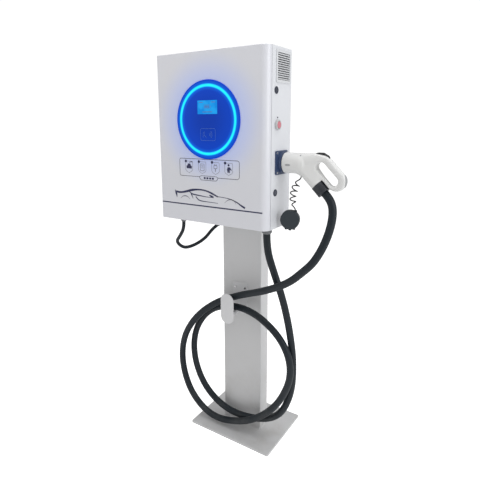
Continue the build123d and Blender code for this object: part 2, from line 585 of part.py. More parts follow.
def estop_head():
    body = rod_x(SIDE + 6.1, SIDE + 11.5, ESTOP_Y, ESTOP_Z, ESTOP_HEAD_R)
    body = fillet(body.edges().sort_by(Axis.X)[-1], 2)
    return body + rod_x(SIDE - 2.5, SIDE + 6.1, ESTOP_Y, ESTOP_Z, 2.5)


def side_lamp():
    body = rod_x(SIDE - 8, SIDE, LAMP_Y, LAMP_Z, LAMP_R)
    dome = Pos(SIDE, LAMP_Y, LAMP_Z) * Sphere(LAMP_R)
    dome &= block(SIDE, SIDE + 5, LAMP_Y - 5, LAMP_Y + 5, LAMP_Z - 5, LAMP_Z + 5)
    return body + dome


def connector_holster():
    """Flanged cup that the connector's nose is parked in."""
    body = plate_x(SIDE, HOLSTER_FACE, GUN_Y, GUN_Z, HOLSTER_W, HOLSTER_H, 8)
    body += rod_x(HOLSTER_FACE, SIDE + COLLAR_OUT, GUN_Y, GUN_Z, COLLAR_R)
    body += rod_x(SIDE - CUP_DEPTH, SIDE, GUN_Y, GUN_Z, CUP_BORE_R + CUP_WALL)
    body -= rod_x(SIDE - CUP_DEPTH + CUP_WALL, SIDE + 30, GUN_Y, GUN_Z, CUP_BORE_R)
    for y, z in holster_screw_places():
        body -= rod_x(SIDE - 1, HOLSTER_FACE + 1, y, z, 2.2)
    return body


def holster_screw_places():
    dy, dz = HOLSTER_W / 2 - 9, HOLSTER_H / 2 - 9
    return [(GUN_Y + sy * dy, GUN_Z + sz * dz) for sy in (-1, 1) for sz in (-1, 1)]


def holster_screws():
    screws = []
    for y, z in holster_screw_places():
        head = rod_x(HOLSTER_FACE, HOLSTER_FACE + 2.4, y, z, 4)
        head -= rod_x(HOLSTER_FACE + 1.2, HOLSTER_FACE + 3, y, z, 1.5)
        screws.append(head + rod_x(SIDE, HOLSTER_FACE, y, z, 2))
    return Compound(children=screws)


# ---------------------------------------------------------------- inside the box
def chassis_plate():
    """Plate that the equipment stands on, held off the back wall."""
    z0, z1 = BOX_Z + CHASSIS_EDGE, BOX_TOP - CHASSIS_EDGE
    body = block(CHASSIS_X0, CHASSIS_X1, CHASSIS_FACE, CHASSIS_Y, z0, z1)
    for z in RAIL_ZS:
        for sx in (-1, 1):
            body -= rod_y(sx * BOX_BOLT_X, CHASSIS_Y - 5, CHASSIS_Y + 5, z, 12)
    return body


def chassis_standoffs():
    posts = [
        rod_y(x, CHASSIS_Y, BOX_BACK - HOUSING_T, z, 5)
        for x in (CHASSIS_X0 + 15, CHASSIS_X1 - 15)
        for z in (BOX_Z + 45, BOX_Z + BOX_H / 2, BOX_TOP - 45)
    ]
    return Compound(children=posts)


def power_modules():
    """Two rectifier modules: finned cases, open towards the chassis plate."""
    cases = []
    face, t = CHASSIS_FACE, MODULE_WALL
    width = (CHASSIS_X1 - CHASSIS_X0 - 2 * MODULE_GAP) / 2
    z0, z1 = DIN_Z + MODULE_UP, BOX_TOP - MODULE_EDGE
    for x0 in (CHASSIS_X0 + MODULE_GAP / 2, CHASSIS_X1 - MODULE_GAP / 2 - width):
        body = block(x0, x0 + width, face - MODULE_DEPTH, face, z0, z1)
        body -= block(x0 + t, x0 + width - t, face - MODULE_DEPTH + 4, face + 1, z0 + t, z1 - t)
        pitch = (width - 20) / (FIN_N - 1)
        for i in range(FIN_N):
            x = x0 + 10 + i * pitch - FIN_T / 2
            y = face - MODULE_DEPTH
            body += block(x, x + FIN_T, y - FIN_H, y, z0 + 12, z1 - 12)
        cases.append(body)
    return Compound(children=cases)


def din_rail():
    face, half = CHASSIS_FACE, DIN_H / 2
    x0, x1 = CHASSIS_X0 + 7, CHASSIS_X1 - 40
    body = block(x0, x1, face - DIN_D, face, DIN_Z - half, DIN_Z + half)
    body -= block(x0 - 1, x1 + 1, face - DIN_D + 1, face + 1, DIN_Z - half + 6, DIN_Z + half - 6)
    body -= block(x0 - 1, x1 + 1, face - DIN_D + 1, face - 1, DIN_Z - half + 1, DIN_Z + half - 1)
    return body + block(x0, x1, face - 1, face, DIN_Z - 12, DIN_Z + 12)


def on_rail(x0, x1, y0, y1, z0, z1):
    """Box on the DIN rail: x from the chassis's left edge, y out from the rail, z from its middle."""
    left = CHASSIS_X0
    return block(left + x0, left + x1, DEVICE_FACE - y1, DEVICE_FACE - y0, DIN_Z + z0, DIN_Z + z1)


def breaker_body():
    body = on_rail(20, 92, 0, 68, -40, 40)
    body -= on_rail(19, 93, 50, 69, -41, -23)
    body -= on_rail(19, 93, 50, 69, 23, 41)
    return body - on_rail(35, 77, 52, 69, -14, 14)


def breaker_toggle():
    y = DEVICE_FACE - 62
    body = rod_x(CHASSIS_X0 + 37, CHASSIS_X0 + 75, y, DIN_Z, 5)
    lever = on_rail(45, 67, 62, 78, -2, 4)
    return body + Pos(0, y, DIN_Z) * Rot(24, 0, 0) * Pos(0, -y, -DIN_Z) * lever


def energy_meter():
    body = on_rail(100, 172, 0, 58, -45, 45)
    body -= on_rail(113, 159, 56, 59, 2, 24)
    return body + rod_y(CHASSIS_X0 + 136, DEVICE_FACE - 60, DEVICE_FACE - 58, DIN_Z - 20, 4)


def surge_arrester():
    body = on_rail(180, 234, 0, 46, -40, 40)
    for i in range(3):
        x = 189 + 18 * i
        body += on_rail(x - 7, x + 7, 46, 60, -22, 22)
    return body


def contactors():
    units = []
    for x0 in (245, 325):
        body = on_rail(x0, x0 + 66, 0, 60, -42, 42)
        body += on_rail(x0 + 8, x0 + 58, 60, 80, -22, 22)
        for i in range(3):
            x = CHASSIS_X0 + x0 + 13 + 20 * i
            for z in (DIN_Z - 36, DIN_Z + 36):
                body -= rod_y(x, DEVICE_FACE - 61, DEVICE_FACE - 52, z, 4)
        units.append(body)
    return Compound(children=units)


def terminal_block():
    x0, face = CHASSIS_X0 + 25, CHASSIS_FACE
    body = block(x0, x0 + 150, face - 42, face, LOW_Z, LOW_Z + 50)
    for i in range(9):
        x = x0 + 8 + 16.5 * i
        body -= block(x, x + 11, face - 43, face - 30, LOW_Z - 5, LOW_Z + 15)
        body -= block(x, x + 11, face - 43, face - 30, LOW_Z + 35, LOW_Z + 55)
        body -= rod_y(x + 5.5, face - 43, face - 36, LOW_Z + 25, 3.5)
    return body


def controller_board():
    """Charge controller: board on four pillars, with its larger components."""
    x0, top = CHASSIS_X0 + 195, CHASSIS_FACE - 12
    body = block(x0, x0 + 190, top - 1.6, top, LOW_Z, LOW_Z + 150)
    for x in (x0 + 6, x0 + 184):
        for z in (LOW_Z + 6, LOW_Z + 144):
            body += rod_y(x, top, CHASSIS_FACE, z, 4)
    parts = (
        (20, 50, 12, 25, 55), (70, 100, 4, 35, 65), (120, 136, 16, 15, 31), (144, 160, 16, 15, 31),
        (15, 85, 14, 120, 140), (110, 175, 14, 120, 140), (115, 165, 9, 60, 95),
    )
    for left, right, tall, low, high in parts:
        body += block(x0 + left, x0 + right, top - 1.6 - tall, top - 1.6, LOW_Z + low, LOW_Z + high)
    return body


# ---------------------------------------------------------------- glands
def gland(x, y, drop, r, cable_d):
    z0, flats = BOX_Z - drop, 2 * r + 2
    body = rod_z(x, y, BOX_Z - 4, BOX_Z, r + 2)
    body += hex_z(x, y, BOX_Z - 14, BOX_Z - 4, flats)
    body += rod_z(x, y, z0 + 6, BOX_Z - 14, r)
    cone = Pos(x, y, z0 + 3) * Cone(cable_d / 2 + 2, r, 6)
    body += cone
    body += rod_z(x, y, BOX_Z, BOX_Z + 14, cable_d / 2 + 2)
    body += hex_z(x, y, BOX_Z + HOUSING_T, BOX_Z + HOUSING_T + 6, flats)
    return body


def cable_gland():
    return gland(GLAND_X, GLAND_Y, GLAND_DROP, GLAND_R, CABLE_D)


def supply_gland():
    return gland(SUPPLY_X, SUPPLY_Y, SUPPLY_DROP, SUPPLY_R, SUPPLY_D)


# ---------------------------------------------------------------- hook
def cable_hook():
    """Welded hook: back plate, round arm and tall front plate."""
    y_back = POST_FRONT - HOOK_BACK_T
    y_front = POST_FRONT - HOOK_REACH
    body = plate_y(HOOK_X, y_back, POST_FRONT, HOOK_BACK_Z, HOOK_BACK_W, HOOK_BACK_H, 10)
    body += rod_y(HOOK_X, y_front, y_back, HOOK_ARM_Z, HOOK_ARM_R)
    face = plate_y(HOOK_X, y_front - HOOK_T, y_front, HOOK_Z, HOOK_W, HOOK_H, HOOK_W / 2 - 0.01)
    body += fillet(face.faces().sort_by(Axis.Y)[0].edges(), 1.5)
    for sx in (-1, 1):
        body -= rod_y(HOOK_X + sx * HOOK_SCREW_DX, y_back - 1, POST_FRONT + 1, HOOK_SCREW_Z, 3.2)
    return body


# ---------------------------------------------------------------- connector
def stadium(d0, d1, n, r, thickness):
    """Slot-shaped solid along the grip direction, centred on the connector's middle plane."""
    ax, az = gun_point(d0, n)
    bx, bz = gun_point(d1, n)
    body = rod_y(ax, GUN_Y - thickness / 2, GUN_Y + thickness / 2, az, r)
    body += rod_y(bx, GUN_Y - thickness / 2, GUN_Y + thickness / 2, bz, r)
    corners = [gun_point(d0, n - r), gun_point(d1, n - r), gun_point(d1, n + r), gun_point(d0, n + r)]
    return body + profile_y(corners, GUN_Y, thickness)


def along_grip(d0, d1, n, r):
    """Cylinder along the grip from d0 to d1."""
    x, z = gun_point((d0 + d1) / 2, n)
    return Pos(x, GUN_Y, z) * Rot(0, 90 + GRIP_ANGLE, 0) * Cylinder(r, abs(d1 - d0))


def grip_coordinates(point):
    """(d, n) of a point in the connector's middle plane."""
    x, z = point
    return (x * E1[0] + z * E1[1], x * E2[0] + z * E2[1])


SLOT_D, SLOT_N = grip_coordinates(SLOT_TOP)
CUFF_D, GRIP_N = grip_coordinates(CUFF_END)
LOOP_N = SLOT_N + SLOT_SHIFT
LOOP_END = SLOT_D + SLOT_LEN + LOOP_TAIL
GRIP_TOP = SLOT_D - 56


def latch_solid(grow, angle):
    """Latch lever turned about its pin, with a gap grown all round for the pocket it works in."""
    top, g = GUN_Z + BARREL_R, grow
    x0, deep = GUN_RIM + 4, 12
    thin = NOSE_R + LATCH_GAP + 0.6 - BARREL_R
    body = profile_y(
        [(x0 - g, top + thin - g), (GUN_RIM + 56 - g, top + thin - g), (GUN_RIM + 60 - g, top - deep - g),
         (426, top - deep - g), (446, top - 10 - g), (464, top - 18 - g), (474 + g, top - 13 - g),
         (470 + g, top - 8 + g), (450, top + 3 + g), (428, top + 3 + g), (420, top - 1 + g),
         (x0 - g, top - 1 + g)], GUN_Y, LATCH_W + 2 * g)
    return Pos(LATCH_PIN_X, 0, LATCH_PIN_Z) * Rot(0, angle, 0) * Pos(-LATCH_PIN_X, 0, -LATCH_PIN_Z) * body


def gun_shell():
    """Both shells in one: barrel, web, grip and the handle loop."""
    rim, top, bottom = GUN_RIM, GUN_Z + BARREL_R, GUN_Z - BARREL_R
    barrel = rod_x(rim, rim + BARREL_LEN, GUN_Y, GUN_Z, BARREL_R)
    barrel = chamfer(barrel.edges().sort_by(Axis.X)[0], 1.5)
    barrel = fillet(barrel.edges().sort_by(Axis.X)[-1], 12)
    shoulder = gun_point(SLOT_D + 4, LOOP_N + LOOP_R)
    crotch = gun_point(SLOT_D + 26, GRIP_N + GRIP_R)
    heel = gun_point(SLOT_D - 16, GRIP_N - GRIP_R)
    web = profile_y(
        [(rim + 50, top), (rim + 136, top), (rim + 162, top - 7), shoulder, crotch, heel,
         (rim + 58, bottom), (rim + 30, bottom)], GUN_Y, WEB_T)
    web = fillet(web.edges().filter_by(Axis.Y).group_by(Axis.Z)[-1], 6)
    web &= block(rim + 30, rim + 260, GUN_Y - 60, GUN_Y + 60, bottom, top)
    grip = along_grip(GRIP_TOP, CUFF_D - CUFF_LEN, GRIP_N, GRIP_R)
    loop = stadium(SLOT_D, LOOP_END, LOOP_N, LOOP_R, LOOP_T)
    eye = rod_z(TETHER_TOP[0][0], GUN_Y, TETHER_TOP[0][2], bottom + 4, 6)
    body = barrel + web + grip + loop + eye
    body -= stadium(SLOT_D, SLOT_D + SLOT_LEN, SLOT_N, SLOT_R, 200)
    body -= rod_x(rim - 1, rim + 54, GUN_Y, GUN_Z, NOSE_R + 0.3)
    body -= along_grip(GRIP_TOP + 20, CUFF_D, GRIP_N, GRIP_R - SHELL_WALL)
    for step in range(8):
        body -= latch_solid(LATCH_GAP, LATCH_STROKE * step / 6)
    body -= rod_y(LATCH_PIN_X, GUN_Y - 80, GUN_Y + 80, LATCH_PIN_Z, LATCH_PIN_R)
    return body - tip_insert_solid(0.0)


def tip_insert_solid(shrink):
    """Bumper let into the loop's outer tip."""
    band = stadium(LOOP_END - 1, LOOP_END, LOOP_N, LOOP_R + 0.2, 18 - 2 * shrink)
    band -= stadium(LOOP_END - 60, LOOP_END, LOOP_N, LOOP_R - 3 + shrink, 60)
    x, z = gun_point(LOOP_END + LOOP_R * 0.72, LOOP_N + LOOP_R * 0.62)
    window = Pos(x, GUN_Y, z) * Rot(0, GRIP_ANGLE - 40, 0) * Box(22, 40, 26)
    return band & window


def gun_tip_insert():
    return tip_insert_solid(0.15)


def gun_shell_near():
    return gun_shell() & block(GUN_RIM - 20, 700, GUN_Y - 100, GUN_Y, 1100, 1500)


def gun_shell_far():
    return gun_shell() & block(GUN_RIM - 20, 700, GUN_Y, GUN_Y + 100, 1100, 1500)


def contact_places():
    """(dy, dz, radius) of each contact in the nose."""
    places = [(-15, 2, 6), (15, 2, 6), (0, -18, 4)]
    places += [(-11, 19, 2.2), (11, 19, 2.2), (0, 22, 2.2)]
    places += [(-20, -14, 3), (20, -14, 3)]
    return places


def gun_nose():
    body = rod_x(NOSE_TIP, GUN_RIM + 52, GUN_Y, GUN_Z, NOSE_R)
    body = chamfer(body.edges().sort_by(Axis.X)[0], 1.5)
    groove = rod_x(NOSE_TIP - 1, NOSE_TIP + 26, GUN_Y, GUN_Z, NOSE_R - 3)
    groove -= rod_x(NOSE_TIP - 2, NOSE_TIP + 27, GUN_Y, GUN_Z, NOSE_R - 7)
    body -= groove
    for dy, dz, r in contact_places():
        body -= rod_x(NOSE_TIP - 1, NOSE_TIP + 24, GUN_Y + dy, GUN_Z + dz, r + 1)
    return body


def contact_sleeves():
    sleeves = []
    for dy, dz, r in contact_places():
        y, z = GUN_Y + dy, GUN_Z + dz
        sleeve = rod_x(NOSE_TIP + 5, NOSE_TIP + 24, y, z, r)
        sleeves.append(sleeve - rod_x(NOSE_TIP + 4, NOSE_TIP + 20, y, z, r - 1.2))
    return Compound(children=sleeves)


def latch_lever():
    body = latch_solid(0, 0)
    return body - rod_y(LATCH_PIN_X, GUN_Y - 20, GUN_Y + 20, LATCH_PIN_Z, LATCH_PIN_R + PIN_CLEAR)


def latch_pin():
    reach = 25
    return rod_y(LATCH_PIN_X, GUN_Y - reach, GUN_Y + reach, LATCH_PIN_Z, LATCH_PIN_R)


def cable_cuff():
    """Ribbed nut and strain relief that closes the grip on the cable."""
    start = CUFF_D - CUFF_LEN
    body = along_grip(start, CUFF_D, GRIP_N, CUFF_R)
    for i in range(3):
        d = start + 12 + 9 * i
        ring = along_grip(d, d + 3, GRIP_N, CUFF_R + 2) - along_grip(d - 1, d + 4, GRIP_N, CUFF_R - 1)
        body -= ring
    return body


# ---------------------------------------------------------------- cables
def cord_tube(name, points, diameter):
    """Round cord: straight runs joined by tangent arcs as large as the runs allow."""
    pts = [Vector(*p) for p in points]
    radii = []
    for before, here, after in zip(pts, pts[1:], pts[2:]):
        turn = (here - before).get_angle(after - here)
        run = min((here - before).length, (after - here).length)
        radii.append(0.45 * run / tan(radians(turn / 2)))
    path = FilletPolyline(*pts, radius=radii)
    start = Plane(origin=path @ 0, z_dir=path % 0)
    tube = sweep(start * Circle(diameter / 2), path=path)
    expected = pi * diameter ** 2 / 4 * path.length
    print(name, "length", round(path.length), "volume ratio", round(tube.volume / expected, 4))
    print("  radii", [round(r) for r in radii])
    return tube


def charging_cable_box():
    return cord_tube("charging_cable_box", CABLE_ROOT, CABLE_D)


def charging_cable_gun():
    return cord_tube("charging_cable_gun", CABLE_GUN, CABLE_D)


def supply_cable():
    return cord_tube("supply_cable", SUPPLY_ROUTE, SUPPLY_D)


def cap_tether():
    """Curly cord: two plain ends and one solid of the curls' outer shape."""
    return Compound(children=[
        cord_tube("tether top", TETHER_TOP, TETHER_D),
        cord_tube("tether curls", TETHER_COIL, TETHER_COIL_D),
        cord_tube("tether end", TETHER_END, TETHER_D),
    ])


def dust_cap():
    """Cover for the connector's nose, hanging face outwards on its curly cord."""
    neck_dx = 20
    body = rod_y(0, -CAP_T / 2, CAP_T / 2, 0, CAP_R)
    body = fillet(body.edges().sort_by(Axis.Y)[0], 5)
    body -= rod_y(0, -CAP_T / 2 + 6, CAP_T / 2 + 1, 0, CAP_R - CAP_WALL)
    top = TETHER_END[-1][2] - CAP_Z
    body += block(neck_dx - 7, neck_dx + 7, -5, 6, CAP_R - 9, top) - rod_y(0, -20, 20, 0, CAP_R - 1)
    for x in (-16, 0, 16):
        z = -(CAP_R ** 2 - x ** 2) ** 0.5
        body += block(x - 5, x + 5, -4, 6, z - 5, z + 2)
    turn = radians(CAP_TURN)
    centre_y = GUN_Y - neck_dx * sin(turn)
    centre_x = TETHER_END[-1][0] - neck_dx * cos(turn)
    return Pos(centre_x, centre_y, CAP_Z) * Rot(0, 0, CAP_TURN) * body


NODES = [
    base_plate, post_tube, post_screws, post_top_cap, access_cover, entry_grommet,
    mounting_rails, housing_bolts, rear_housing, front_door, door_gasket,
    hinge_body_leaves, hinge_door_leaves, hinge_pins, door_catches,
    display_lens, led_ring, lcd_module, rfid_reader, led_board,
    louvre_panels, dust_filter, fan_frame, fan_rotor, lock_barrels,
    estop_body, estop_stem, estop_head, side_lamp, connector_holster, holster_screws,
    chassis_plate, chassis_standoffs, power_modules, din_rail, breaker_body, breaker_toggle,
    energy_meter, surge_arrester, contactors, terminal_block, controller_board,
    cable_gland, supply_gland, cable_hook,
    gun_shell_near, gun_shell_far, gun_tip_insert, gun_nose, contact_sleeves,
    latch_lever, latch_pin, cable_cuff,
    charging_cable_box, charging_cable_gun, supply_cable, cap_tether, dust_cap,
]

os.makedirs("parts", exist_ok=True)
for make in NODES:
    export_step(make(), f"parts/{make.__name__}.step")
for label, z in zip(("lower", "upper"), LOCK_ZS):
    export_step(lock_cam(z), f"parts/lock_cam_{label}.step")
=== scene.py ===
import math

import bpy
from mathutils import Matrix, Vector


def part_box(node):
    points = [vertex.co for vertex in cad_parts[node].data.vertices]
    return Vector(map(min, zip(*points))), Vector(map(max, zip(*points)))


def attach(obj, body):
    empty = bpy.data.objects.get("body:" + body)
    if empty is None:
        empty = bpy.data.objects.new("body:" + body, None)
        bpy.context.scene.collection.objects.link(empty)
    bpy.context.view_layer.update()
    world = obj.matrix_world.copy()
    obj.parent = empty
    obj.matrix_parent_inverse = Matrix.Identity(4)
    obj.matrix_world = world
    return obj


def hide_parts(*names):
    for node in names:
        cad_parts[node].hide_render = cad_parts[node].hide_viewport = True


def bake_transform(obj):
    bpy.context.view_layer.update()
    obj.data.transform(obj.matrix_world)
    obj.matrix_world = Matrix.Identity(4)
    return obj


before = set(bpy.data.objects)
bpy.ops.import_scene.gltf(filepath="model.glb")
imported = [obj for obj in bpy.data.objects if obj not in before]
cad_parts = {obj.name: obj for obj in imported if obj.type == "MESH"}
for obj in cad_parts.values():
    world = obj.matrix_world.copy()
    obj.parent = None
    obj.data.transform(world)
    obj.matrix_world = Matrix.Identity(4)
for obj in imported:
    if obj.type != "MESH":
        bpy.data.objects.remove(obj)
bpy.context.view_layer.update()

bpy.context.scene.view_settings.view_transform = "Standard"

# Everything is in metres, in the frame of the CAD model: +X right, +Y back, +Z up.
RIGHT, BACK = Vector((1, 0, 0)), Vector((0, 1, 0))


def mm(*values):
    """Place or size given in millimetres."""
    return Vector([v * 0.001 for v in values])


def round_angles(count):
    """Even angles once round a circle."""
    return [2 * math.pi * k / count for k in range(count)]


# ---------------------------------------------------------------- camera
def place_camera():
    """Camera at a standing person's eye, turned a little to the left and down."""
    yaw, pitch, roll = math.radians(33.19), math.radians(11.5), math.radians(-0.28)
    forward = Vector((-math.sin(yaw) * math.cos(pitch), math.cos(yaw) * math.cos(pitch),
                      -math.sin(pitch)))
    level = Vector((math.cos(yaw), math.sin(yaw), 0))
    upright = level.cross(forward)
    right = math.cos(roll) * level + math.sin(roll) * upright
    up = -math.sin(roll) * level + math.cos(roll) * upright
    data = bpy.data.cameras.new("camera")
    data.sensor_width = 36
    data.lens = 32.763
    data.shift_x, data.shift_y = 0.0074375, -0.0599375
    data.clip_end = 200
    cam = bpy.data.objects.new("camera", data)
    bpy.context.collection.objects.link(cam)
    turn = Matrix((right, up, -forward)).transposed()
    cam.matrix_world = Matrix.Translation(mm(1077.3, -1726.29, 1531.16)) @ turn.to_4x4()
    bpy.context.scene.camera = cam


# ---------------------------------------------------------------- meshes
def add_object(name, data):
    obj = bpy.data.objects.new(name, data)
    bpy.context.collection.objects.link(obj)
    return obj


def mesh_object(name, points, faces):
    """Piece from points and faces, with its faces turned outwards."""
    mesh = bpy.data.meshes.new(name)
    mesh.from_pydata([tuple(p) for p in points], [], faces)
    mesh.update()
    obj = add_object(name, mesh)
    edit_all(obj)
    return leave_edit(obj)


def edit_all(obj):
    """Edit mode with everything on the piece selected."""
    select_only(obj)
    bpy.ops.object.mode_set(mode="EDIT")
    bpy.ops.mesh.select_all(action="SELECT")


def leave_edit(obj):
    """Turn all faces outwards and go back to object mode."""
    bpy.ops.mesh.select_all(action="SELECT")
    bpy.ops.mesh.normals_make_consistent(inside=False)
    bpy.ops.object.mode_set(mode="OBJECT")
    return obj


def apply_modifier(obj, kind, **settings):
    """Finish a piece with one modifier."""
    mod = obj.modifiers.new(kind.lower(), kind)
    for key, value in settings.items():
        setattr(mod, key, value)
    select_only(obj)
    bpy.ops.object.modifier_apply(modifier=mod.name)


def select_only(obj):
    bpy.ops.object.select_all(action="DESELECT")
    obj.select_set(True)
    bpy.context.view_layer.objects.active = obj


def smooth(obj, degrees=32):
    select_only(obj)
    bpy.ops.object.shade_smooth_by_angle(angle=math.radians(degrees))


def join(name, objects):
    """Make one piece of several."""
    bpy.ops.object.select_all(action="DESELECT")
    for obj in objects:
        obj.select_set(True)
    bpy.context.view_layer.objects.active = objects[0]
    bpy.ops.object.join()
    objects[0].name = name
    return objects[0]


def dress(obj, material, body):
    """Give a piece its finish and the body that it rides."""
    obj.data.materials.clear()
    obj.data.materials.append(material)
    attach(obj, body)
    return obj


def rings_mesh(name, rings, closed=False):
    """Skin over rings of points that all have the same count, with flat ends unless it closes on itself."""
    n = len(rings[0])
    points = [p for ring in rings for p in ring]
    faces = []
    last = len(rings) if closed else len(rings) - 1
    for i in range(last):
        a, b = i * n, (i + 1) % len(rings) * n
        faces += [(a + j, a + (j + 1) % n, b + (j + 1) % n, b + j) for j in range(n)]
    if not closed:
        faces.append(tuple(range(n))[::-1])
        faces.append(tuple(range(len(points) - n, len(points))))
    return mesh_object(name, points, faces)


def turned(name, start, along, profile, sides=48):
    """Round piece grown ring by ring from start along a direction; profile lists (distance, radius)."""
    bpy.ops.object.select_all(action="DESELECT")
    bpy.ops.mesh.primitive_circle_add(
        vertices=sides, radius=profile[0][1], fill_type="NGON", location=start + along * profile[0][0],
        rotation=along.to_track_quat("Z", "Y").to_euler())
    obj = bpy.context.object
    obj.name = name
    bpy.ops.object.transform_apply(location=True, rotation=True, scale=True)
    edit_all(obj)
    for (d0, r0), (d1, r1) in zip(profile, profile[1:]):
        bpy.ops.mesh.extrude_region_move(TRANSFORM_OT_translate={"value": along * (d1 - d0)})
        bpy.ops.transform.resize(value=(r1 / r0,) * 3, center_override=start + along * d1)
    return leave_edit(obj)


def plate(name, corners, y0, y1):
    """Flat piece from its (x, z) outline in millimetres, drawn at y0 and extruded to y1."""
    face = mesh_object(name, [(x * 0.001, y0, z * 0.001) for x, z in corners], [tuple(range(len(corners)))])
    edit_all(face)
    bpy.ops.mesh.extrude_region_move(TRANSFORM_OT_translate={"value": (0, y1 - y0, 0)})
    return leave_edit(face)


def spline_points(control, resolution):
    """Points of the NURBS line through a list of control points."""
    curve = nurbs_curve("line", control, 0, resolution)
    mesh = bpy.data.meshes.new_from_object(curve.evaluated_get(bpy.context.evaluated_depsgraph_get()))
    points = [v.co.copy() for v in mesh.vertices]
    data = curve.data
    bpy.data.objects.remove(curve)
    bpy.data.curves.remove(data)
    bpy.data.meshes.remove(mesh)
    return points


def nurbs_curve(name, control, radius, resolution=12, ring=6):
    """Smooth round cord along control points."""
    data = bpy.data.curves.new(name, "CURVE")
    data.dimensions = "3D"
    data.resolution_u = resolution
    data.bevel_depth = radius
    data.bevel_resolution = ring
    data.use_fill_caps = radius > 0
    spline = data.splines.new("NURBS")
    spline.points.add(len(control) - 1)
    for point, place in zip(spline.points, control):
        point.co = (*place, 1)
    spline.order_u = 3
    spline.use_endpoint_u = True
    obj = add_object(name, data)
    bpy.context.view_layer.update()
    return obj


def drawn_line(name, points, radius, closed, ring, swell=None):
    """Round line along straight runs, made a mesh; swell(i) is its share of the radius at point i."""
    data = bpy.data.curves.new(name, "CURVE")
    data.dimensions = "3D"
    data.bevel_depth = radius
    data.bevel_resolution = ring
    spline = data.splines.new("POLY")
    spline.points.add(len(points) - 1)
    spline.use_cyclic_u = closed
    for i, (point, place) in enumerate(zip(spline.points, points)):
        point.co = (*place, 1)
        if swell:
            point.radius = swell(i)
    line = add_object(name, data)
    select_only(line)
    bpy.ops.object.convert(target="MESH")
    return line


def tube_mesh(name, path, radius, sides=32):
    """Round tube along a dense line, turned as little as possible from ring to ring."""
    rings = []
    side = None
    for i, here in enumerate(path):
        before, after = path[max(i - 1, 0)], path[min(i + 1, len(path) - 1)]
        along = (after - before).normalized()
        if side is None:
            side = along.orthogonal()
        side = (side - side.dot(along) * along).normalized()
        other = along.cross(side)
        rings.append([here + radius * (math.cos(a) * side + math.sin(a) * other)
                      for a in round_angles(sides)])
    return rings_mesh(name, rings)


# ---------------------------------------------------------------- cables
CABLE_ROOT = [
    (200, -150, 1068), (200, -150, 998), (227, -131, 890), (260, -104, 763), (289, -88, 608),
    (305, -78, 453), (295, -75, 293), (232, -75, 151), (90, -75, 85), (-79, -76, 79),
    (-211, -78, 168), (-274, -80, 318), (-260, -83, 476), (-170, -86, 610), (-24, -94, 676),
    (134, -105, 665), (276, -117, 571), (321, -121, 433), (263, -116, 274), (164, -113, 152),
    (33, -112, 67), (-134, -114, 32), (-264, -117, 120), (-321, -120, 274), (-305, -126, 432),
    (-222, -134, 569), (-104, -122, 676), (37, -108, 741), (173, -143, 797), (321, -188, 878),
    (361.5, -194, 917),
]
CABLE_GUN = [
    (361.5, -194, 917), (402, -200, 956), (433.7, -200, 990), (461.3, -196, 1038.5),
    (478.2, -189, 1081), (489.6, -181, 1123.5), (494.9, -173.5, 1161.5), (495.5, -169, 1193.5),
    (490.6, -167, 1221), (478.3, -167, 1246.1), (458.7, -167, 1266.1),
]
SUPPLY_ROUTE = [
    (-214, -200, 1082), (-214, -200, 1048), (-243, -196, 1006), (-283, -180, 968),
    (-263, -147, 930), (-223, -112, 944), (-185, -76, 976), (-172, -34, 1016),
    (-146, 0, 1045), (-104, 0, 1045),
]
TETHER_TOP = [(360, -167, 1323), (360, -167, 1314)]
TETHER_COIL = [(345, -167, 1300), (329, -167, 1263), (325, -167, 1228), (330, -167, 1203)]
TETHER_END = [(338, -167, 1192), (338, -167, 1186)]
TETHER_TURNS, TETHER_R, TETHER_WIRE = 4.25, 0.0125, 0.005
TETHER_STEPS = 12
CABLE_D, SUPPLY_D = 0.032, 0.016


def charging_cable(material):
    """Long cable from the box over the hook, and the last run up to the connector."""
    lower = nurbs_curve("cable_from_box", [mm(*p) for p in CABLE_ROOT], CABLE_D / 2, 16, 8)
    dress(lower, material, "post")
    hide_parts("charging_cable_box")
    path = spline_points([mm(*p) for p in CABLE_GUN], 14)
    upper = tube_mesh("cable_to_connector", path, CABLE_D / 2)
    smooth(upper, 60)
    upper.data.materials.append(material)
    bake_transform(upper)
    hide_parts("charging_cable_gun")


def supply_cable(material):
    """Thin cable from under the box into the post."""
    cable = nurbs_curve("supply_flex", [mm(*p) for p in SUPPLY_ROUTE], SUPPLY_D / 2, 16, 6)
    dress(cable, material, "post")
    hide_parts("supply_cable")


def curly_tether(material):
    """Curled cord round its own middle line, with smaller curls at both ends."""
    line = spline_points([mm(*p) for p in TETHER_COIL], 24)
    lengths = [0]
    for a, b in zip(line, line[1:]):
        lengths.append(lengths[-1] + (b - a).length)
    total = round(TETHER_TURNS * TETHER_STEPS)
    points = [mm(*p) for p in TETHER_TOP]
    for i in range(total + 1):
        share = i / total
        goal = share * lengths[-1]
        k = max(j for j in range(len(line) - 1) if lengths[j] <= goal + 1e-9)
        along = (line[k + 1] - line[k]).normalized()
        centre = line[k].lerp(line[k + 1], (goal - lengths[k]) / (lengths[k + 1] - lengths[k]))
        across = along.cross(BACK).normalized()
        ease = min(1, 4 * share + 0.45, 4 * (1 - share) + 0.3)
        radius = TETHER_R * ease * (1 + 0.06 * math.sin(5 * share + 1))
        angle = 2 * math.pi * TETHER_TURNS * share + math.pi
        points.append(centre + radius * (math.cos(angle) * across + math.sin(angle) * BACK))
    points += [mm(*p) for p in TETHER_END]
    cord = nurbs_curve("curly_tether", points, TETHER_WIRE / 2, 6, 5)
    dress(cord, material, "connector")
    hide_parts("cap_tether")


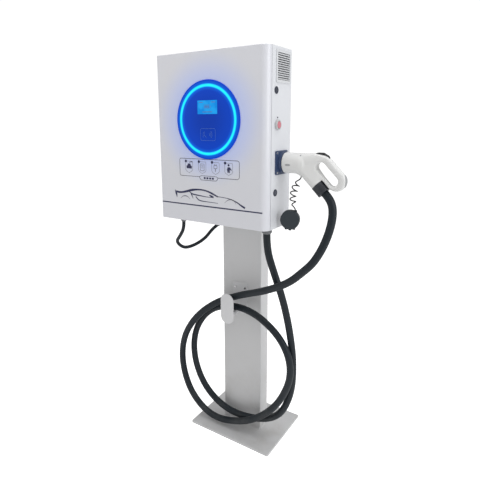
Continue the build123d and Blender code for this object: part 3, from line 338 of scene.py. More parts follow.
# ---------------------------------------------------------------- node groups shared by the materials
def group(name, inputs, outputs):
    """Empty node group with named sockets."""
    tree = bpy.data.node_groups.new(name, "ShaderNodeTree")
    for label, kind, value in inputs:
        socket = tree.interface.new_socket(label, in_out="INPUT", socket_type=kind)
        socket.default_value = value
    for label, kind in outputs:
        tree.interface.new_socket(label, in_out="OUTPUT", socket_type=kind)
    return tree, Wiring(tree)


class Wiring:
    """Short ways to add and join nodes in one tree."""

    def __init__(self, tree):
        self.tree = tree

    def node(self, kind, **settings):
        made = self.tree.nodes.new("ShaderNode" + kind if not kind.startswith("Node") else kind)
        for key, value in settings.items():
            setattr(made, key, value)
        return made

    def join(self, source, target):
        self.tree.links.new(source, target)

    def place(self):
        """Where the surface lies on the piece."""
        return self.node("TexCoord").outputs["Object"]

    def facing(self):
        """Which way the surface faces."""
        return self.node("NewGeometry").outputs["Normal"]

    def axis(self, vector, letter):
        made = self.node("SeparateXYZ")
        self.join(vector, made.inputs[0])
        return made.outputs[letter]

    def feed(self, socket, value):
        """Set a socket to a number or a colour, or join an output to it."""
        if isinstance(value, (int, float)):
            socket.default_value = value
        elif isinstance(value, tuple):
            socket.default_value = (*value, 1)
        else:
            self.join(value, socket)

    def math(self, operation, a, b=None, clamp=False):
        made = self.node("Math", operation=operation, use_clamp=clamp)
        for socket, value in zip(made.inputs, (a, b)):
            if value is not None:
                self.feed(socket, value)
        return made.outputs[0]

    def noise(self, vector, scale, detail=3, roughness=0.5):
        made = self.node("TexNoise")
        made.inputs["Detail"].default_value = detail
        made.inputs["Roughness"].default_value = roughness
        self.join(vector, made.inputs["Vector"])
        self.feed(made.inputs["Scale"], scale)
        return made.outputs["Fac"]

    def ramp(self, value, low, high, out_low=0.0, out_high=1.0):
        made = self.node("MapRange", interpolation_type="SMOOTHSTEP")
        self.join(value, made.inputs["Value"])
        for label, number in (("From Min", low), ("From Max", high),
                              ("To Min", out_low), ("To Max", out_high)):
            made.inputs[label].default_value = number
        return made.outputs["Result"]

    def mix(self, factor, a, b, blend="MIX"):
        made = self.node("Mix", data_type="RGBA", blend_type=blend)
        for socket, value in ((made.inputs[0], factor), (made.inputs[6], a), (made.inputs[7], b)):
            self.feed(socket, value)
        return made.outputs[2]


def grain_group():
    """Fine skin of a surface: texture bumps, slow unevenness, fine scratches and rounded edges."""
    tree, w = group(
        "surface_grain",
        [("Scale", "NodeSocketFloat", 900), ("Depth", "NodeSocketFloat", 0.00002),
         ("Scratches", "NodeSocketFloat", 0.3), ("Edge Radius", "NodeSocketFloat", 0.001)],
        [("Normal", "NodeSocketVector"), ("Shade", "NodeSocketFloat"), ("Scratch", "NodeSocketFloat")])
    inp, out = w.node("NodeGroupInput"), w.node("NodeGroupOutput")
    place = w.place()
    fine = w.noise(place, inp.outputs["Scale"], 2)
    slow = w.noise(place, 7, 4)
    stretch = w.node("Mapping")
    stretch.inputs["Rotation"].default_value = (0.5, 0.3, 0.8)
    stretch.inputs["Scale"].default_value = (35, 900, 60)
    w.join(place, stretch.inputs["Vector"])
    lines = w.ramp(w.noise(stretch.outputs["Vector"], 1.0, 2), 0.66, 0.74)
    patches = w.ramp(w.noise(place, 22, 2), 0.52, 0.7)
    scratch = w.math("MULTIPLY", w.math("MULTIPLY", lines, patches), inp.outputs["Scratches"])
    skin = w.math("ADD", fine, w.math("MULTIPLY", slow, 1.5))
    height = w.math("SUBTRACT", skin, w.math("MULTIPLY", scratch, 2))
    edge = w.node("Bevel", samples=4)
    w.join(inp.outputs["Edge Radius"], edge.inputs["Radius"])
    bump = w.node("Bump")
    bump.inputs["Strength"].default_value = 0.9
    w.join(inp.outputs["Depth"], bump.inputs["Distance"])
    w.join(height, bump.inputs["Height"])
    w.join(edge.outputs["Normal"], bump.inputs["Normal"])
    w.join(bump.outputs["Normal"], out.inputs["Normal"])
    w.join(w.math("ADD", w.math("MULTIPLY", slow, 0.7), w.math("MULTIPLY", fine, 0.3)), out.inputs["Shade"])
    w.join(scratch, out.inputs["Scratch"])
    return tree


def wear_group():
    """Where edges are rubbed bright and where dust and splashes lie."""
    tree, w = group(
        "street_wear",
        [("Edge Wear", "NodeSocketFloat", 0.3), ("Dust", "NodeSocketFloat", 0.3)],
        [("Worn", "NodeSocketFloat"), ("Dusty", "NodeSocketFloat")])
    inp, out = w.node("NodeGroupInput"), w.node("NodeGroupOutput")
    place = w.place()
    real = w.facing()
    edge = w.node("Bevel", samples=4)
    edge.inputs["Radius"].default_value = 0.0012
    turn = w.node("VectorMath", operation="DOT_PRODUCT")
    w.join(edge.outputs["Normal"], turn.inputs[0])
    w.join(real, turn.inputs[1])
    rim = w.ramp(w.math("SUBTRACT", 1.0, turn.outputs["Value"]), 0.02, 0.2)
    broken = w.ramp(w.noise(place, 45, 4, 0.65), 0.5, 0.66)
    rubbed = w.math("MULTIPLY", rim, broken)
    w.join(w.math("MULTIPLY", rubbed, inp.outputs["Edge Wear"], True), out.inputs["Worn"])
    low = w.ramp(w.axis(place, "Z"), 0.0, 0.45, 1.0, 0.08)
    flat = w.ramp(w.axis(real, "Z"), 0.5, 1.0)
    cloud = w.ramp(w.noise(place, 9, 5, 0.6), 0.4, 0.75)
    settled = w.math("MAXIMUM", low, w.math("MULTIPLY", flat, 0.5))
    lying = w.math("MULTIPLY", settled, cloud)
    w.join(w.math("MULTIPLY", lying, inp.outputs["Dust"], True), out.inputs["Dusty"])
    return tree


GRAIN, WEAR = grain_group(), wear_group()
FINISH = {}
STREET_DUST = (0.34, 0.32, 0.29)


def surface(name, colour, rough, metallic=0.0, scale=900, depth=0.00002, scratches=0.3, edge=0.0008,
            wear=0.2, worn=None, dust=0.2, uneven=0.05, coat=0.0, gloss=0.5, tint=None):
    """Finished material, filed in FINISH: skin, slow unevenness, rubbed edges and street dust.

    tint(w, base, shader) gives back a changed colour and may light the surface.
    """
    mat = bpy.data.materials.new(name)
    mat.use_nodes = True
    w = Wiring(mat.node_tree)
    shader = mat.node_tree.nodes["Principled BSDF"]
    grain = w.node("Group", node_tree=GRAIN)
    for label, value in (("Scale", scale), ("Depth", depth), ("Scratches", scratches), ("Edge Radius", edge)):
        grain.inputs[label].default_value = value
    marks = w.node("Group", node_tree=WEAR)
    marks.inputs["Edge Wear"].default_value = wear
    marks.inputs["Dust"].default_value = dust
    darker = tuple(c * (1 - 2 * uneven) for c in colour)
    base = w.mix(grain.outputs["Shade"], darker, colour)
    if tint:
        base = tint(w, base, shader)
    base = w.mix(marks.outputs["Worn"], base, worn or tuple(min(1, c * 1.5 + 0.12) for c in colour))
    base = w.mix(marks.outputs["Dusty"], base, STREET_DUST)
    w.join(base, shader.inputs["Base Color"])
    roughness = w.math("ADD", w.math("MULTIPLY", grain.outputs["Shade"], 0.16), rough - 0.08)
    roughness = w.math("ADD", roughness, w.math("MULTIPLY", grain.outputs["Scratch"], 0.2))
    roughness = w.math("ADD", roughness, w.math("MULTIPLY", marks.outputs["Dusty"], 0.25), True)
    w.join(roughness, shader.inputs["Roughness"])
    w.join(grain.outputs["Normal"], shader.inputs["Normal"])
    shader.inputs["Metallic"].default_value = metallic
    shader.inputs["Coat Weight"].default_value = coat
    shader.inputs["Coat Roughness"].default_value = 0.12
    shader.inputs["Specular IOR Level"].default_value = gloss
    FINISH[name] = mat


# ---------------------------------------------------------------- tints for single materials
LENS_LOW, LENS_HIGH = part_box("display_lens")
LENS = (LENS_LOW + LENS_HIGH) / 2
LENS_R = (LENS_HIGH.x - LENS_LOW.x) / 2
DOOR_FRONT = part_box("front_door")[0].y
GUN_Y = (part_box("gun_shell_near")[0].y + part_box("gun_shell_far")[1].y) / 2


RING_IN, PAD_START = 0.022, 0.4185


def radius_from_lens(w):
    """Distance from the display's middle in the plane of the door."""
    place = w.place()
    shift = w.node("VectorMath", operation="SUBTRACT")
    w.join(place, shift.inputs[0])
    shift.inputs[1].default_value = tuple(LENS)
    flat = w.node("VectorMath", operation="MULTIPLY")
    w.join(shift.outputs[0], flat.inputs[0])
    flat.inputs[1].default_value = (1, 0, 1)
    far = w.node("VectorMath", operation="LENGTH")
    w.join(flat.outputs[0], far.inputs[0])
    return far.outputs["Value"]


def glow_tint(w, base, shader):
    """Blue light from the display that falls on the door round it."""
    far = radius_from_lens(w)
    near = w.ramp(far, LENS_R - 0.02, LENS_R + 0.13, 1.0, 0.0)
    front = w.ramp(w.axis(w.facing(), "Y"), -0.9, -0.6, 1.0, 0.0)
    amount = w.math("MULTIPLY", near, front)
    return w.mix(w.math("MULTIPLY", amount, 0.60), base, (0.36, 0.47, 0.93))


def lens_tint(w, base, shader):
    """Blue backed lens: lit from the ring inwards, deeper in its middle and at its rim."""
    far = radius_from_lens(w)
    inner = w.ramp(far, 0.02, 0.135)
    rim = w.ramp(far, LENS_R - 0.006, LENS_R)
    base = w.mix(inner, (0.0, 0.036, 0.37), (0.0, 0.050, 0.50))
    base = w.mix(rim, base, (0.0, 0.055, 0.62))
    bright = w.ramp(w.math("ABSOLUTE", w.math("SUBTRACT", far, LENS_R - RING_IN)), 0.004, 0.022, 1.0, 0.0)
    base = w.mix(w.math("MULTIPLY", bright, 0.7), base, (0.0, 0.16, 0.85))
    w.join(base, shader.inputs["Emission Color"])
    shader.inputs["Emission Strength"].default_value = 0.92
    return w.mix(0.93, base, (0.0, 0.004, 0.03))


def ring_tint(w, base, shader):
    """Lit ring, brightest along its middle."""
    place = w.place()
    soft = w.noise(place, 26, 1)
    far = radius_from_lens(w)
    edge = w.ramp(w.math("ABSOLUTE", w.math("SUBTRACT", far, LENS_R - RING_IN)), 0.0022, 0.0066)
    colour = w.mix(edge, (0.008, 0.95, 1.0), (0.0, 0.30, 0.90))
    w.join(colour, shader.inputs["Emission Color"])
    w.join(w.ramp(soft, 0.3, 0.7, 0.94, 1.02), shader.inputs["Emission Strength"])
    return w.mix(0.96, base, (0.0, 0.02, 0.04))


def screen_tint(w, base, shader):
    """Backlit screen with fine rows across it and slow, cloudy patches."""
    place = w.place()
    rows = w.node("TexWave", wave_type="BANDS", bands_direction="Z")
    rows.inputs["Scale"].default_value = 260
    w.join(place, rows.inputs["Vector"])
    cloud = w.noise(place, 30, 2)
    colour = w.mix(w.ramp(cloud, 0.35, 0.65), (0.0, 0.27, 0.80), (0.012, 0.40, 0.92))
    colour = w.mix(w.math("MULTIPLY", rows.outputs["Fac"], 0.10), colour, (0.0, 0.16, 0.6))
    w.join(colour, shader.inputs["Emission Color"])
    shader.inputs["Emission Strength"].default_value = 0.85
    return w.mix(0.95, colour, (0.0, 0.01, 0.05))


def shell_tint(w, base, shader):
    """Dark hairline where the two halves of the connector's shell meet."""
    off = w.math("ABSOLUTE", w.math("SUBTRACT", w.axis(w.place(), "Y"), GUN_Y))
    line = w.ramp(off, 0.00025, 0.0006, 1.0, 0.0)
    return w.mix(w.math("MULTIPLY", line, 0.75), base, (0.16, 0.16, 0.17))


def lever_tint(w, base, shader):
    """White latch bar in front, black thumb pad behind."""
    return w.mix(w.ramp(w.axis(w.place(), "X"), PAD_START, PAD_START + 0.001), (0.66, 0.665, 0.66), base)


def fibre_tint(w, base, shader):
    """Matted fibres with dark gaps between them."""
    place = w.place()
    cells = w.node("TexVoronoi")
    cells.inputs["Scale"].default_value = 420
    w.join(place, cells.inputs["Vector"])
    return w.mix(w.ramp(cells.outputs["Distance"], 0.1, 0.7), base, (0.12, 0.12, 0.12))


def board_tint(w, base, shader):
    """Copper tracks under green lacquer."""
    place = w.place()
    brick = w.node("TexBrick")
    brick.inputs["Scale"].default_value = 90
    brick.inputs["Mortar Size"].default_value = 0.012
    w.join(place, brick.inputs["Vector"])
    return w.mix(brick.outputs["Fac"], base, (0.10, 0.22, 0.08))


def brush_tint(w, base, shader):
    """Upright brushing of bare metal."""
    place = w.place()
    stretch = w.node("Mapping")
    stretch.inputs["Scale"].default_value = (1200, 1200, 18)
    w.join(place, stretch.inputs["Vector"])
    streaks = w.ramp(w.noise(stretch.outputs["Vector"], 1.0, 3), 0.35, 0.65)
    return w.mix(streaks, base, (0.36, 0.365, 0.37))


# ---------------------------------------------------------------- materials
STEEL_UNDER = (0.42, 0.43, 0.44)
# The door's paint is box_paint made a little darker: painted shade on the door front
surface("door_paint_painted_shade", (0.655, 0.660, 0.70), 0.30, scale=700, depth=0.000035, scratches=0.12, edge=0.0012,
        wear=0.10, worn=STEEL_UNDER, dust=0.10, uneven=0.02, coat=0.25, tint=glow_tint)
surface("box_paint", (0.68, 0.69, 0.72), 0.32, scale=700, depth=0.000035, scratches=0.12, edge=0.0012,
        wear=0.15, worn=STEEL_UNDER, dust=0.12, uneven=0.02, coat=0.25)
surface("post_paint", (0.59, 0.59, 0.595), 0.42, scale=850, depth=0.00005, scratches=0.3, edge=0.0012,
        wear=0.35, worn=STEEL_UNDER, dust=0.35, uneven=0.03, coat=0.1)
surface("hook_paint", (0.62, 0.62, 0.63), 0.38, scale=850, depth=0.00005, scratches=0.5, edge=0.0010,
        wear=0.55, worn=STEEL_UNDER, dust=0.15, uneven=0.03, coat=0.1)
surface("cap_plastic", (0.52, 0.525, 0.53), 0.5, scale=1300, depth=0.00003, dust=0.5)
surface("vent_plastic", (0.64, 0.65, 0.67), 0.45, scale=1300, depth=0.00003, edge=0.0005, dust=0.45)
surface("black_rubber", (0.018, 0.018, 0.020), 0.62, scale=1500, depth=0.00003, wear=0.1, dust=0.2)
surface("zinc_steel", (0.55, 0.56, 0.57), 0.34, 1.0, scale=260, depth=0.00003, wear=0.3, dust=0.12,
        uneven=0.12, tint=brush_tint)
surface("stainless", (0.62, 0.62, 0.63), 0.22, 1.0, scale=600, depth=0.00001, scratches=0.6, dust=0.05)
surface("display_lens", (0.0, 0.03, 0.30), 0.22, scale=300, depth=0.000004, scratches=0.15, wear=0.05,
        dust=0.03, gloss=0.10, tint=lens_tint)
surface("light_guide", (0.2, 0.8, 0.95), 0.25, scale=500, depth=0.00001, scratches=0.05, wear=0.0, dust=0.0,
        gloss=0.1, tint=ring_tint)
surface("screen", (0.0, 0.3, 0.8), 0.12, scale=400, depth=0.000004, scratches=0.1, wear=0.0, dust=0.03,
        gloss=0.1, tint=screen_tint)
surface("circuit_board", (0.012, 0.085, 0.035), 0.35, scale=500, depth=0.00003, wear=0.1, dust=0.2,
        tint=board_tint)
# The filter's grey is made light so that the louvre gaps, which lie in shade, read mid-grey: painted light
surface("filter_mat", (0.60, 0.61, 0.62), 0.95, scale=500, depth=0.0006, scratches=0.0, wear=0.0, dust=0.5,
        uneven=0.2, tint=fibre_tint)
surface("fan_plastic", (0.015, 0.015, 0.017), 0.42, scale=1100, depth=0.00003, wear=0.1, dust=0.45)
surface("lock_plastic", (0.018, 0.024, 0.045), 0.35, scale=1200, depth=0.00002, wear=0.3, dust=0.1)
surface("holster_blue", (0.032, 0.058, 0.135), 0.36, scale=1000, depth=0.00004, scratches=0.7, edge=0.0010,
        wear=0.45, dust=0.15, uneven=0.08)
surface("estop_grey", (0.50, 0.51, 0.52), 0.42, scale=1200, depth=0.00003, dust=0.15)
surface("estop_red", (0.62, 0.19, 0.23), 0.28, scale=900, depth=0.00001, scratches=0.4, dust=0.1,
        uneven=0.06, coat=0.3)
surface("lamp", (0.045, 0.045, 0.06), 0.2, scale=400, depth=0.00001, dust=0.05, coat=0.4)
surface("chassis_zinc", (0.56, 0.57, 0.59), 0.38, 1.0, scale=45, depth=0.00004, wear=0.2, dust=0.1,
        uneven=0.2)
surface("module_case", (0.42, 0.43, 0.45), 0.36, 1.0, scale=700, depth=0.00003, wear=0.4, dust=0.2,
        tint=brush_tint)
surface("device_grey", (0.50, 0.51, 0.52), 0.48, scale=1200, depth=0.00003, dust=0.15)
surface("toggle_black", (0.02, 0.02, 0.022), 0.36, scale=1200, depth=0.00002, wear=0.3)
surface("terminal_beige", (0.42, 0.39, 0.31), 0.5, scale=1200, depth=0.00003, dust=0.15)
surface("gland_plastic", (0.16, 0.165, 0.175), 0.42, scale=1100, depth=0.00004, wear=0.35, dust=0.2)
surface("gun_white", (0.70, 0.70, 0.69), 0.40, scale=1500, depth=0.00003, scratches=0.45, edge=0.0010,
        wear=0.05, dust=0.06, uneven=0.05, tint=shell_tint)
surface("gun_grey", (0.34, 0.345, 0.35), 0.5, scale=1300, depth=0.00004, wear=0.2, dust=0.1)
surface("gun_black", (0.020, 0.023, 0.030), 0.42, scale=1300, depth=0.00004, wear=0.25, dust=0.1)
surface("latch", (0.016, 0.017, 0.020), 0.38, scale=1300, depth=0.00004, wear=0.15, dust=0.05,
        tint=lever_tint)
surface("contacts", (0.75, 0.72, 0.62), 0.25, 1.0, scale=500, depth=0.00001, wear=0.2, dust=0.0)
surface("cable_jacket", (0.0065, 0.0125, 0.0185), 0.50, scale=1100, depth=0.00005, scratches=0.8,
        edge=0.0004, wear=0.1, dust=0.10, uneven=0.15, gloss=0.32)
surface("tether_jacket", (0.010, 0.012, 0.016), 0.36, scale=1500, depth=0.00002, wear=0.1, dust=0.1)
surface("cap_rubber", (0.016, 0.026, 0.034), 0.55, scale=1400, depth=0.00005, scratches=0.4, edge=0.0010,
        wear=0.25, dust=0.25, uneven=0.1)
surface("navy_print", (0.014, 0.016, 0.072), 0.38, scale=900, depth=0.00001, scratches=0.4, wear=0.2,
        worn=(0.5, 0.5, 0.52), dust=0.1)
surface("frame_print", (0.055, 0.055, 0.085), 0.38, scale=900, depth=0.00001, scratches=0.4, wear=0.2,
        worn=(0.5, 0.5, 0.52), dust=0.1)
surface("lock_metal", (0.16, 0.17, 0.21), 0.3, 1.0, scale=600, depth=0.00001, scratches=0.6, dust=0.1)
surface("grey_print", (0.17, 0.17, 0.21), 0.38, scale=900, depth=0.00001, scratches=0.4, wear=0.2,
        worn=(0.6, 0.6, 0.62), dust=0.1)
surface("lens_print", (0.06, 0.16, 0.50), 0.3, scale=900, depth=0.00001, scratches=0.2, wear=0.1, dust=0.03)

# which CAD nodes wear which finish
NODE_FINISHES = {
    "door_paint_painted_shade": ["front_door"],
    "box_paint": ["rear_housing"],
    "post_paint": ["base_plate", "post_tube", "access_cover"],
    "hook_paint": ["cable_hook"],
    "cap_plastic": ["post_top_cap"],
    "vent_plastic": ["louvre_panels"],
    "black_rubber": ["entry_grommet", "door_gasket"],
    "zinc_steel": ["mounting_rails", "housing_bolts", "hinge_body_leaves", "hinge_door_leaves",
                   "door_catches", "chassis_standoffs", "din_rail"],
    "stainless": ["post_screws", "hinge_pins", "holster_screws", "estop_stem"],
    "lock_metal": ["lock_cam_lower", "lock_cam_upper", "latch_pin"],
    "display_lens": ["display_lens"],
    "light_guide": ["led_ring"],
    "screen": ["lcd_module"],
    "circuit_board": ["rfid_reader", "led_board", "controller_board"],
    "filter_mat": ["dust_filter"],
    "fan_plastic": ["fan_frame", "fan_rotor"],
    "lock_plastic": ["lock_barrels"],
    "holster_blue": ["connector_holster"],
    "estop_grey": ["estop_body"],
    "estop_red": ["estop_head"],
    "lamp": ["side_lamp"],
    "chassis_zinc": ["chassis_plate"],
    "module_case": ["power_modules"],
    "device_grey": ["breaker_body", "energy_meter", "surge_arrester", "contactors"],
    "toggle_black": ["breaker_toggle"],
    "terminal_beige": ["terminal_block"],
    "gland_plastic": ["cable_gland", "supply_gland"],
    "gun_white": ["gun_shell_near", "gun_shell_far"],
    "gun_grey": ["gun_tip_insert"],
    "gun_black": ["gun_nose", "cable_cuff"],
    "latch": ["latch_lever"],
    "contacts": ["contact_sleeves"],
    "cable_jacket": ["charging_cable_box", "charging_cable_gun", "supply_cable", "cap_tether"],
    "cap_rubber": ["dust_cap"],
}


def dress_cad():
    """Lay each finish over its CAD nodes."""
    for name, nodes in NODE_FINISHES.items():
        for node in nodes:
            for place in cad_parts[node].material_slots:
                place.material = FINISH[name]


# ---------------------------------------------------------------- prints on the door
PRINT_T = 0.00025


def ribbon(name, control, widths, y):
    """Painted stroke on a plane that faces -Y: a smooth line of changing width, in (x, z) millimetres."""
    line = spline_points([mm(x, 0, z) for x, z in control], 10)
    rings = []
    for i, here in enumerate(line):
        before, after = line[max(i - 1, 0)], line[min(i + 1, len(line) - 1)]
        along = (after - before).normalized()
        across = Vector((-along.z, 0, along.x))
        share = i / (len(line) - 1) * (len(widths) - 1)
        k = min(int(share), len(widths) - 2)
        half = (widths[k] + (widths[k + 1] - widths[k]) * (share - k)) * 0.0005
        back, front = y * BACK, (y - PRINT_T) * BACK
        rings.append([here - across * half + back, here + across * half + back,
                      here + across * half + front, here - across * half + front])
    return rings_mesh(name, rings)


def outline(name, corners, width, y, closed=True):
    """Thin printed line along straight runs, given as (x, z) millimetres."""
    line = drawn_line(name, [(x * 0.001, y, z * 0.001) for x, z in corners], width * 0.0005, closed, 1)
    for v in line.data.vertices:
        v.co.y = y + (v.co.y - y) * 0.3
    return line


def rounded(x0, x1, z0, z1, r, steps=5):
    """Corners of a rectangle with rounded corners."""
    corners = []
    for cx, cz, start in ((x1 - r, z1 - r, 0), (x0 + r, z1 - r, 90),
                          (x0 + r, z0 + r, 180), (x1 - r, z0 + r, 270)):
        for k in range(steps + 1):
            a = math.radians(start + 90 * k / steps)
            corners.append((cx + r * math.cos(a), cz + r * math.sin(a)))
    return corners


def patch(name, corners, y):
    """Filled printed shape from its (x, z) outline in millimetres."""
    return plate(name, corners, y, y - PRINT_T)


def disc(name, x, z, r, y):
    """Filled printed dot, in millimetres."""
    return turned(name, Vector((x * 0.001, y, z * 0.001)), -BACK, ((0, r * 0.001), (PRINT_T, r * 0.001)), 20)


def car_print(y):
    """Plain outline of a car over a ground line."""
    strokes = {
        "roof": ([(-184, 1236), (-168, 1232), (-132, 1238), (-100, 1248), (-66, 1253), (-34, 1253), (-4, 1247),
                  (20, 1238), (40, 1230)], [9, 8, 9.5, 10, 7, 6, 6.5, 8, 5]),
        "tail": ([(-191, 1243), (-186, 1233), (-182, 1222), (-180, 1210)], [2, 8, 9, 1.5]),
        "bonnet": ([(36, 1231), (70, 1230), (104, 1226), (134, 1216), (156, 1203), (172, 1196)],
                   [2.5, 2.5, 3, 4, 6, 8]),
        "window": ([(-112, 1244), (-102, 1231), (-62, 1228), (-24, 1225), (8, 1224)], [3, 5.5, 5, 3.5, 2]),
        "pillar": ([(-100, 1232), (-95, 1222), (-90, 1212)], [7, 4, 1.5]),
        "mirror": ([(-4, 1234), (6, 1229), (18, 1226)], [3, 9, 7]),
        "sill": ([(-76, 1222), (-66, 1211), (-52, 1205), (-10, 1204), (40, 1203)], [4.5, 5, 4, 3, 2]),
    }
    arches = {
        "rear_arch": ([(-160, 1206), (-152, 1216), (-134, 1221), (-116, 1217), (-108, 1208)],
                      [1, 3, 4.5, 3, 1]),
        "front_arch": ([(74, 1208), (86, 1220), (106, 1226), (124, 1219), (130, 1208)], [1, 2.6, 4, 3, 1]),
    }
    for name, parts, finish in (("print_car", strokes, "navy_print"),
                                ("print_wheel_arches", arches, "grey_print")):
        made = [ribbon(part, control, widths, y) for part, (control, widths) in parts.items()]
        dress(join(name, made), FINISH[finish], "door")
    line = ribbon("print_ground_line", [(x, 1184) for x in (-268, -90, 90, 251)], [5.2, 5.4, 5.4, 5.0], y)
    dress(line, FINISH["navy_print"], "door")


def instruction_print(y):
    """Four steps for the user, as plain pictograms in one frame."""
    tab = [(42, 1308), (38, 1300), (32, 1295), (-44, 1295), (-50, 1300), (-54, 1308)]
    low = [(137, 1308), (143, 1311), (146, 1317)]
    frame_line = low + [(146, 1375), (143, 1380), (137, 1382), (-151, 1382), (-157, 1380), (-159, 1375),
                        (-159, 1316), (-157, 1310), (-151, 1308)]
    closing = [(-54, 1308), (-44, 1313), (32, 1313), (42, 1308)]
    border = [outline("frame", frame_line + tab[::-1], 2.5, y), outline("tab", closing, 2.2, y, False)]
    dress(join("print_instruction_frame", border), FINISH["frame_print"], "door")
    lines = []
    shields = [-108, -38, 30, 95]
    for k, x in enumerate(shields):
        body = [(x - 17, 1371), (x + 17, 1371), (x + 19, 1368), (x + 19, 1336), (x + 14, 1329), (x, 1322),
                (x - 14, 1329), (x - 19, 1336), (x - 19, 1368)]
        lines.append(outline(f"shield_{k}", body, 1.7, y))
    thin = [
        outline("card_a", rounded(-48, -28, 1334, 1362, 2.5), 2.2, y),
        outline("card_b", [(-44, 1354), (-32, 1354)], 3.0, y, False),
        outline("card_c", [(-44, 1346), (-32, 1346)], 2.0, y, False),
        outline("plug_a", rounded(22, 38, 1346, 1359, 3), 2.6, y),
        outline("plug_b", [(30, 1346), (30, 1333)], 3.2, y, False),
        outline("plug_c", [(26, 1359), (26, 1365)], 2.4, y, False),
        outline("plug_d", [(34, 1359), (34, 1365)], 2.4, y, False),
    ]
    dress(join("print_instruction_lines", lines + thin), FINISH["grey_print"], "door")
    solid = [disc(f"dot_{k}", x - 17, 1371, 6.0, y - 0.0002) for k, x in enumerate(shields)]
    solid += [
        patch("car_body", [(-121, 1340), (-94, 1340), (-93, 1350), (-98, 1353), (-102, 1361), (-114, 1361),
                           (-118, 1353), (-122, 1350)], y),
        patch("car_glass", [(-115, 1353), (-101, 1353), (-104, 1359), (-112, 1359)], y - 0.0002),
        disc("lamp_a", -117, 1345, 2.4, y - 0.0002), disc("lamp_b", -98, 1345, 2.4, y - 0.0002),
        disc("person_head", 95, 1363, 4.6, y),
        patch("person", [(90, 1332), (94, 1332), (95, 1342), (96, 1332), (100, 1332), (101, 1346),
                         (108, 1341), (110, 1344), (101, 1355), (90, 1355), (87, 1345)], y),
        ribbon("arrow", [(-106, 1365), (-100, 1370), (-90, 1368)], [1.5, 2.5, 4], y),
    ]
    for k in range(4):
        solid.append(patch(f"bar_{k}", rounded(-31 + 14 * k, -21 + 14 * k, 1300, 1308, 1.5, 2), y))
    dress(join("print_instruction_solids", solid), FINISH["navy_print"], "door")


def screen_contents(y, front):
    """Battery symbol and level bars on the screen, and the card symbol under it."""
    cx, cz = LENS.x * 1000 + 1, LENS.z * 1000 + 50.5
    marks = [outline("cell", rounded(cx - 16, cx + 13, cz - 6, cz + 10, 2), 1.2, y)]
    marks.append(patch("cell_end", rounded(cx + 14.5, cx + 17, cz - 1, cz + 5, 0.8, 2), y))
    for k in range(3):
        marks.append(patch(f"level_{k}", rounded(cx - 13 + 8 * k, cx - 7 + 8 * k, cz - 3, cz + 7, 0.8, 2), y))
    for name, x0, x1, z in (("row_a", -40, -22, 18), ("row_b", 20, 40, 18), ("row_c", -24, 24, -20)):
        marks.append(patch(name, rounded(cx + x0, cx + x1, cz + z, cz + z + 3, 1, 2), y))
    dress(join("screen_symbols", marks), FINISH["lens_print"], "door")
    x, z = LENS.x * 1000 + 2.5, LENS.z * 1000 - 58
    card = [outline("card", rounded(x - 37, x + 37, z - 24, z + 24, 6), 1.3, front)]
    card.append(outline("hand", [(x - 24, z - 12), (x - 24, z + 6), (x - 18, z + 12), (x - 18, z - 4),
                                 (x - 10, z - 8), (x - 8, z - 14)], 1.6, front, False))
    for k in range(3):
        r = 7 + 6 * k
        arc = [(x + 2 + r * math.cos(a), z + r * math.sin(a))
               for a in (math.radians(-45 + 15 * j) for j in range(7))]
        card.append(outline(f"wave_{k}", arc, 1.6, front, False))
    dress(join("card_symbol", card), FINISH["lens_print"], "door")


# ---------------------------------------------------------------- connector
GRIP = math.radians(45.6)
ALONG = Vector((math.cos(GRIP), 0, -math.sin(GRIP)))
ACROSS = Vector((math.sin(GRIP), 0, math.cos(GRIP)))
GUN_MID = GUN_Y * BACK
BARREL_MID, BARREL_R, RIM_X, BORE_R = Vector((0, GUN_Y, 1.374)), 0.041, 0.292, 0.0353
SLOT_TOP, SLOT_LEN, SLOT_R = mm(444, 0, 1364.2), 0.072, 0.0175
LOOP_R, LOOP_T, LOOP_SHIFT, LOOP_TAIL = 0.039, 0.034, 0.0088, 0.0067
GRIP_R, CUFF_START = 0.027, mm(458.7, 0, 1266.1) - ALONG * 0.041
LATCH_PIN, LATCH_PIN_R, LATCH_SLOT = Vector((0.3668, GUN_Y, 1.406)), 0.0022, 0.0082
SKIN_STEP = 0.0016


def circle_ring(centre, along, r, count=48):
    """Ring of points round centre, across a direction that lies in the connector's middle plane."""
    up = BACK.cross(along).normalized()
    return [centre + r * math.cos(a) * up + r * math.sin(a) * BACK for a in round_angles(count)]


def paired(*corners):
    """Points on both sides of the connector's middle, from (x, z, distance off the middle)."""
    return [mm(x, 0, z) + (GUN_Y + s * off * 0.001) * BACK for s in (-1, 1) for x, z, off in corners]


def hull(name, rings):
    """Tight skin round rings of points."""
    mesh = bpy.data.meshes.new(name)
    mesh.from_pydata([tuple(p) for ring in rings for p in ring], [], [])
    obj = add_object(name, mesh)
    edit_all(obj)
    bpy.ops.mesh.convex_hull()
    return leave_edit(obj)


def stadium_ray(shift, r, straight, share):
    """Point on a slot-shaped outline at a share of its way round."""
    total = 2 * straight + 2 * math.pi * r
    goal = share * total
    start = SLOT_TOP + ACROSS * shift
    if goal < straight:
        return start + ALONG * goal + ACROSS * r
    goal -= straight
    if goal < math.pi * r:
        a = goal / r
        return start + ALONG * (straight + r * math.sin(a)) + ACROSS * (r * math.cos(a))
    goal -= math.pi * r
    if goal < straight:
        return start + ALONG * (straight - goal) - ACROSS * r
    a = (goal - straight) / r
    return start - ALONG * (r * math.sin(a)) - ACROSS * (r * math.cos(a))


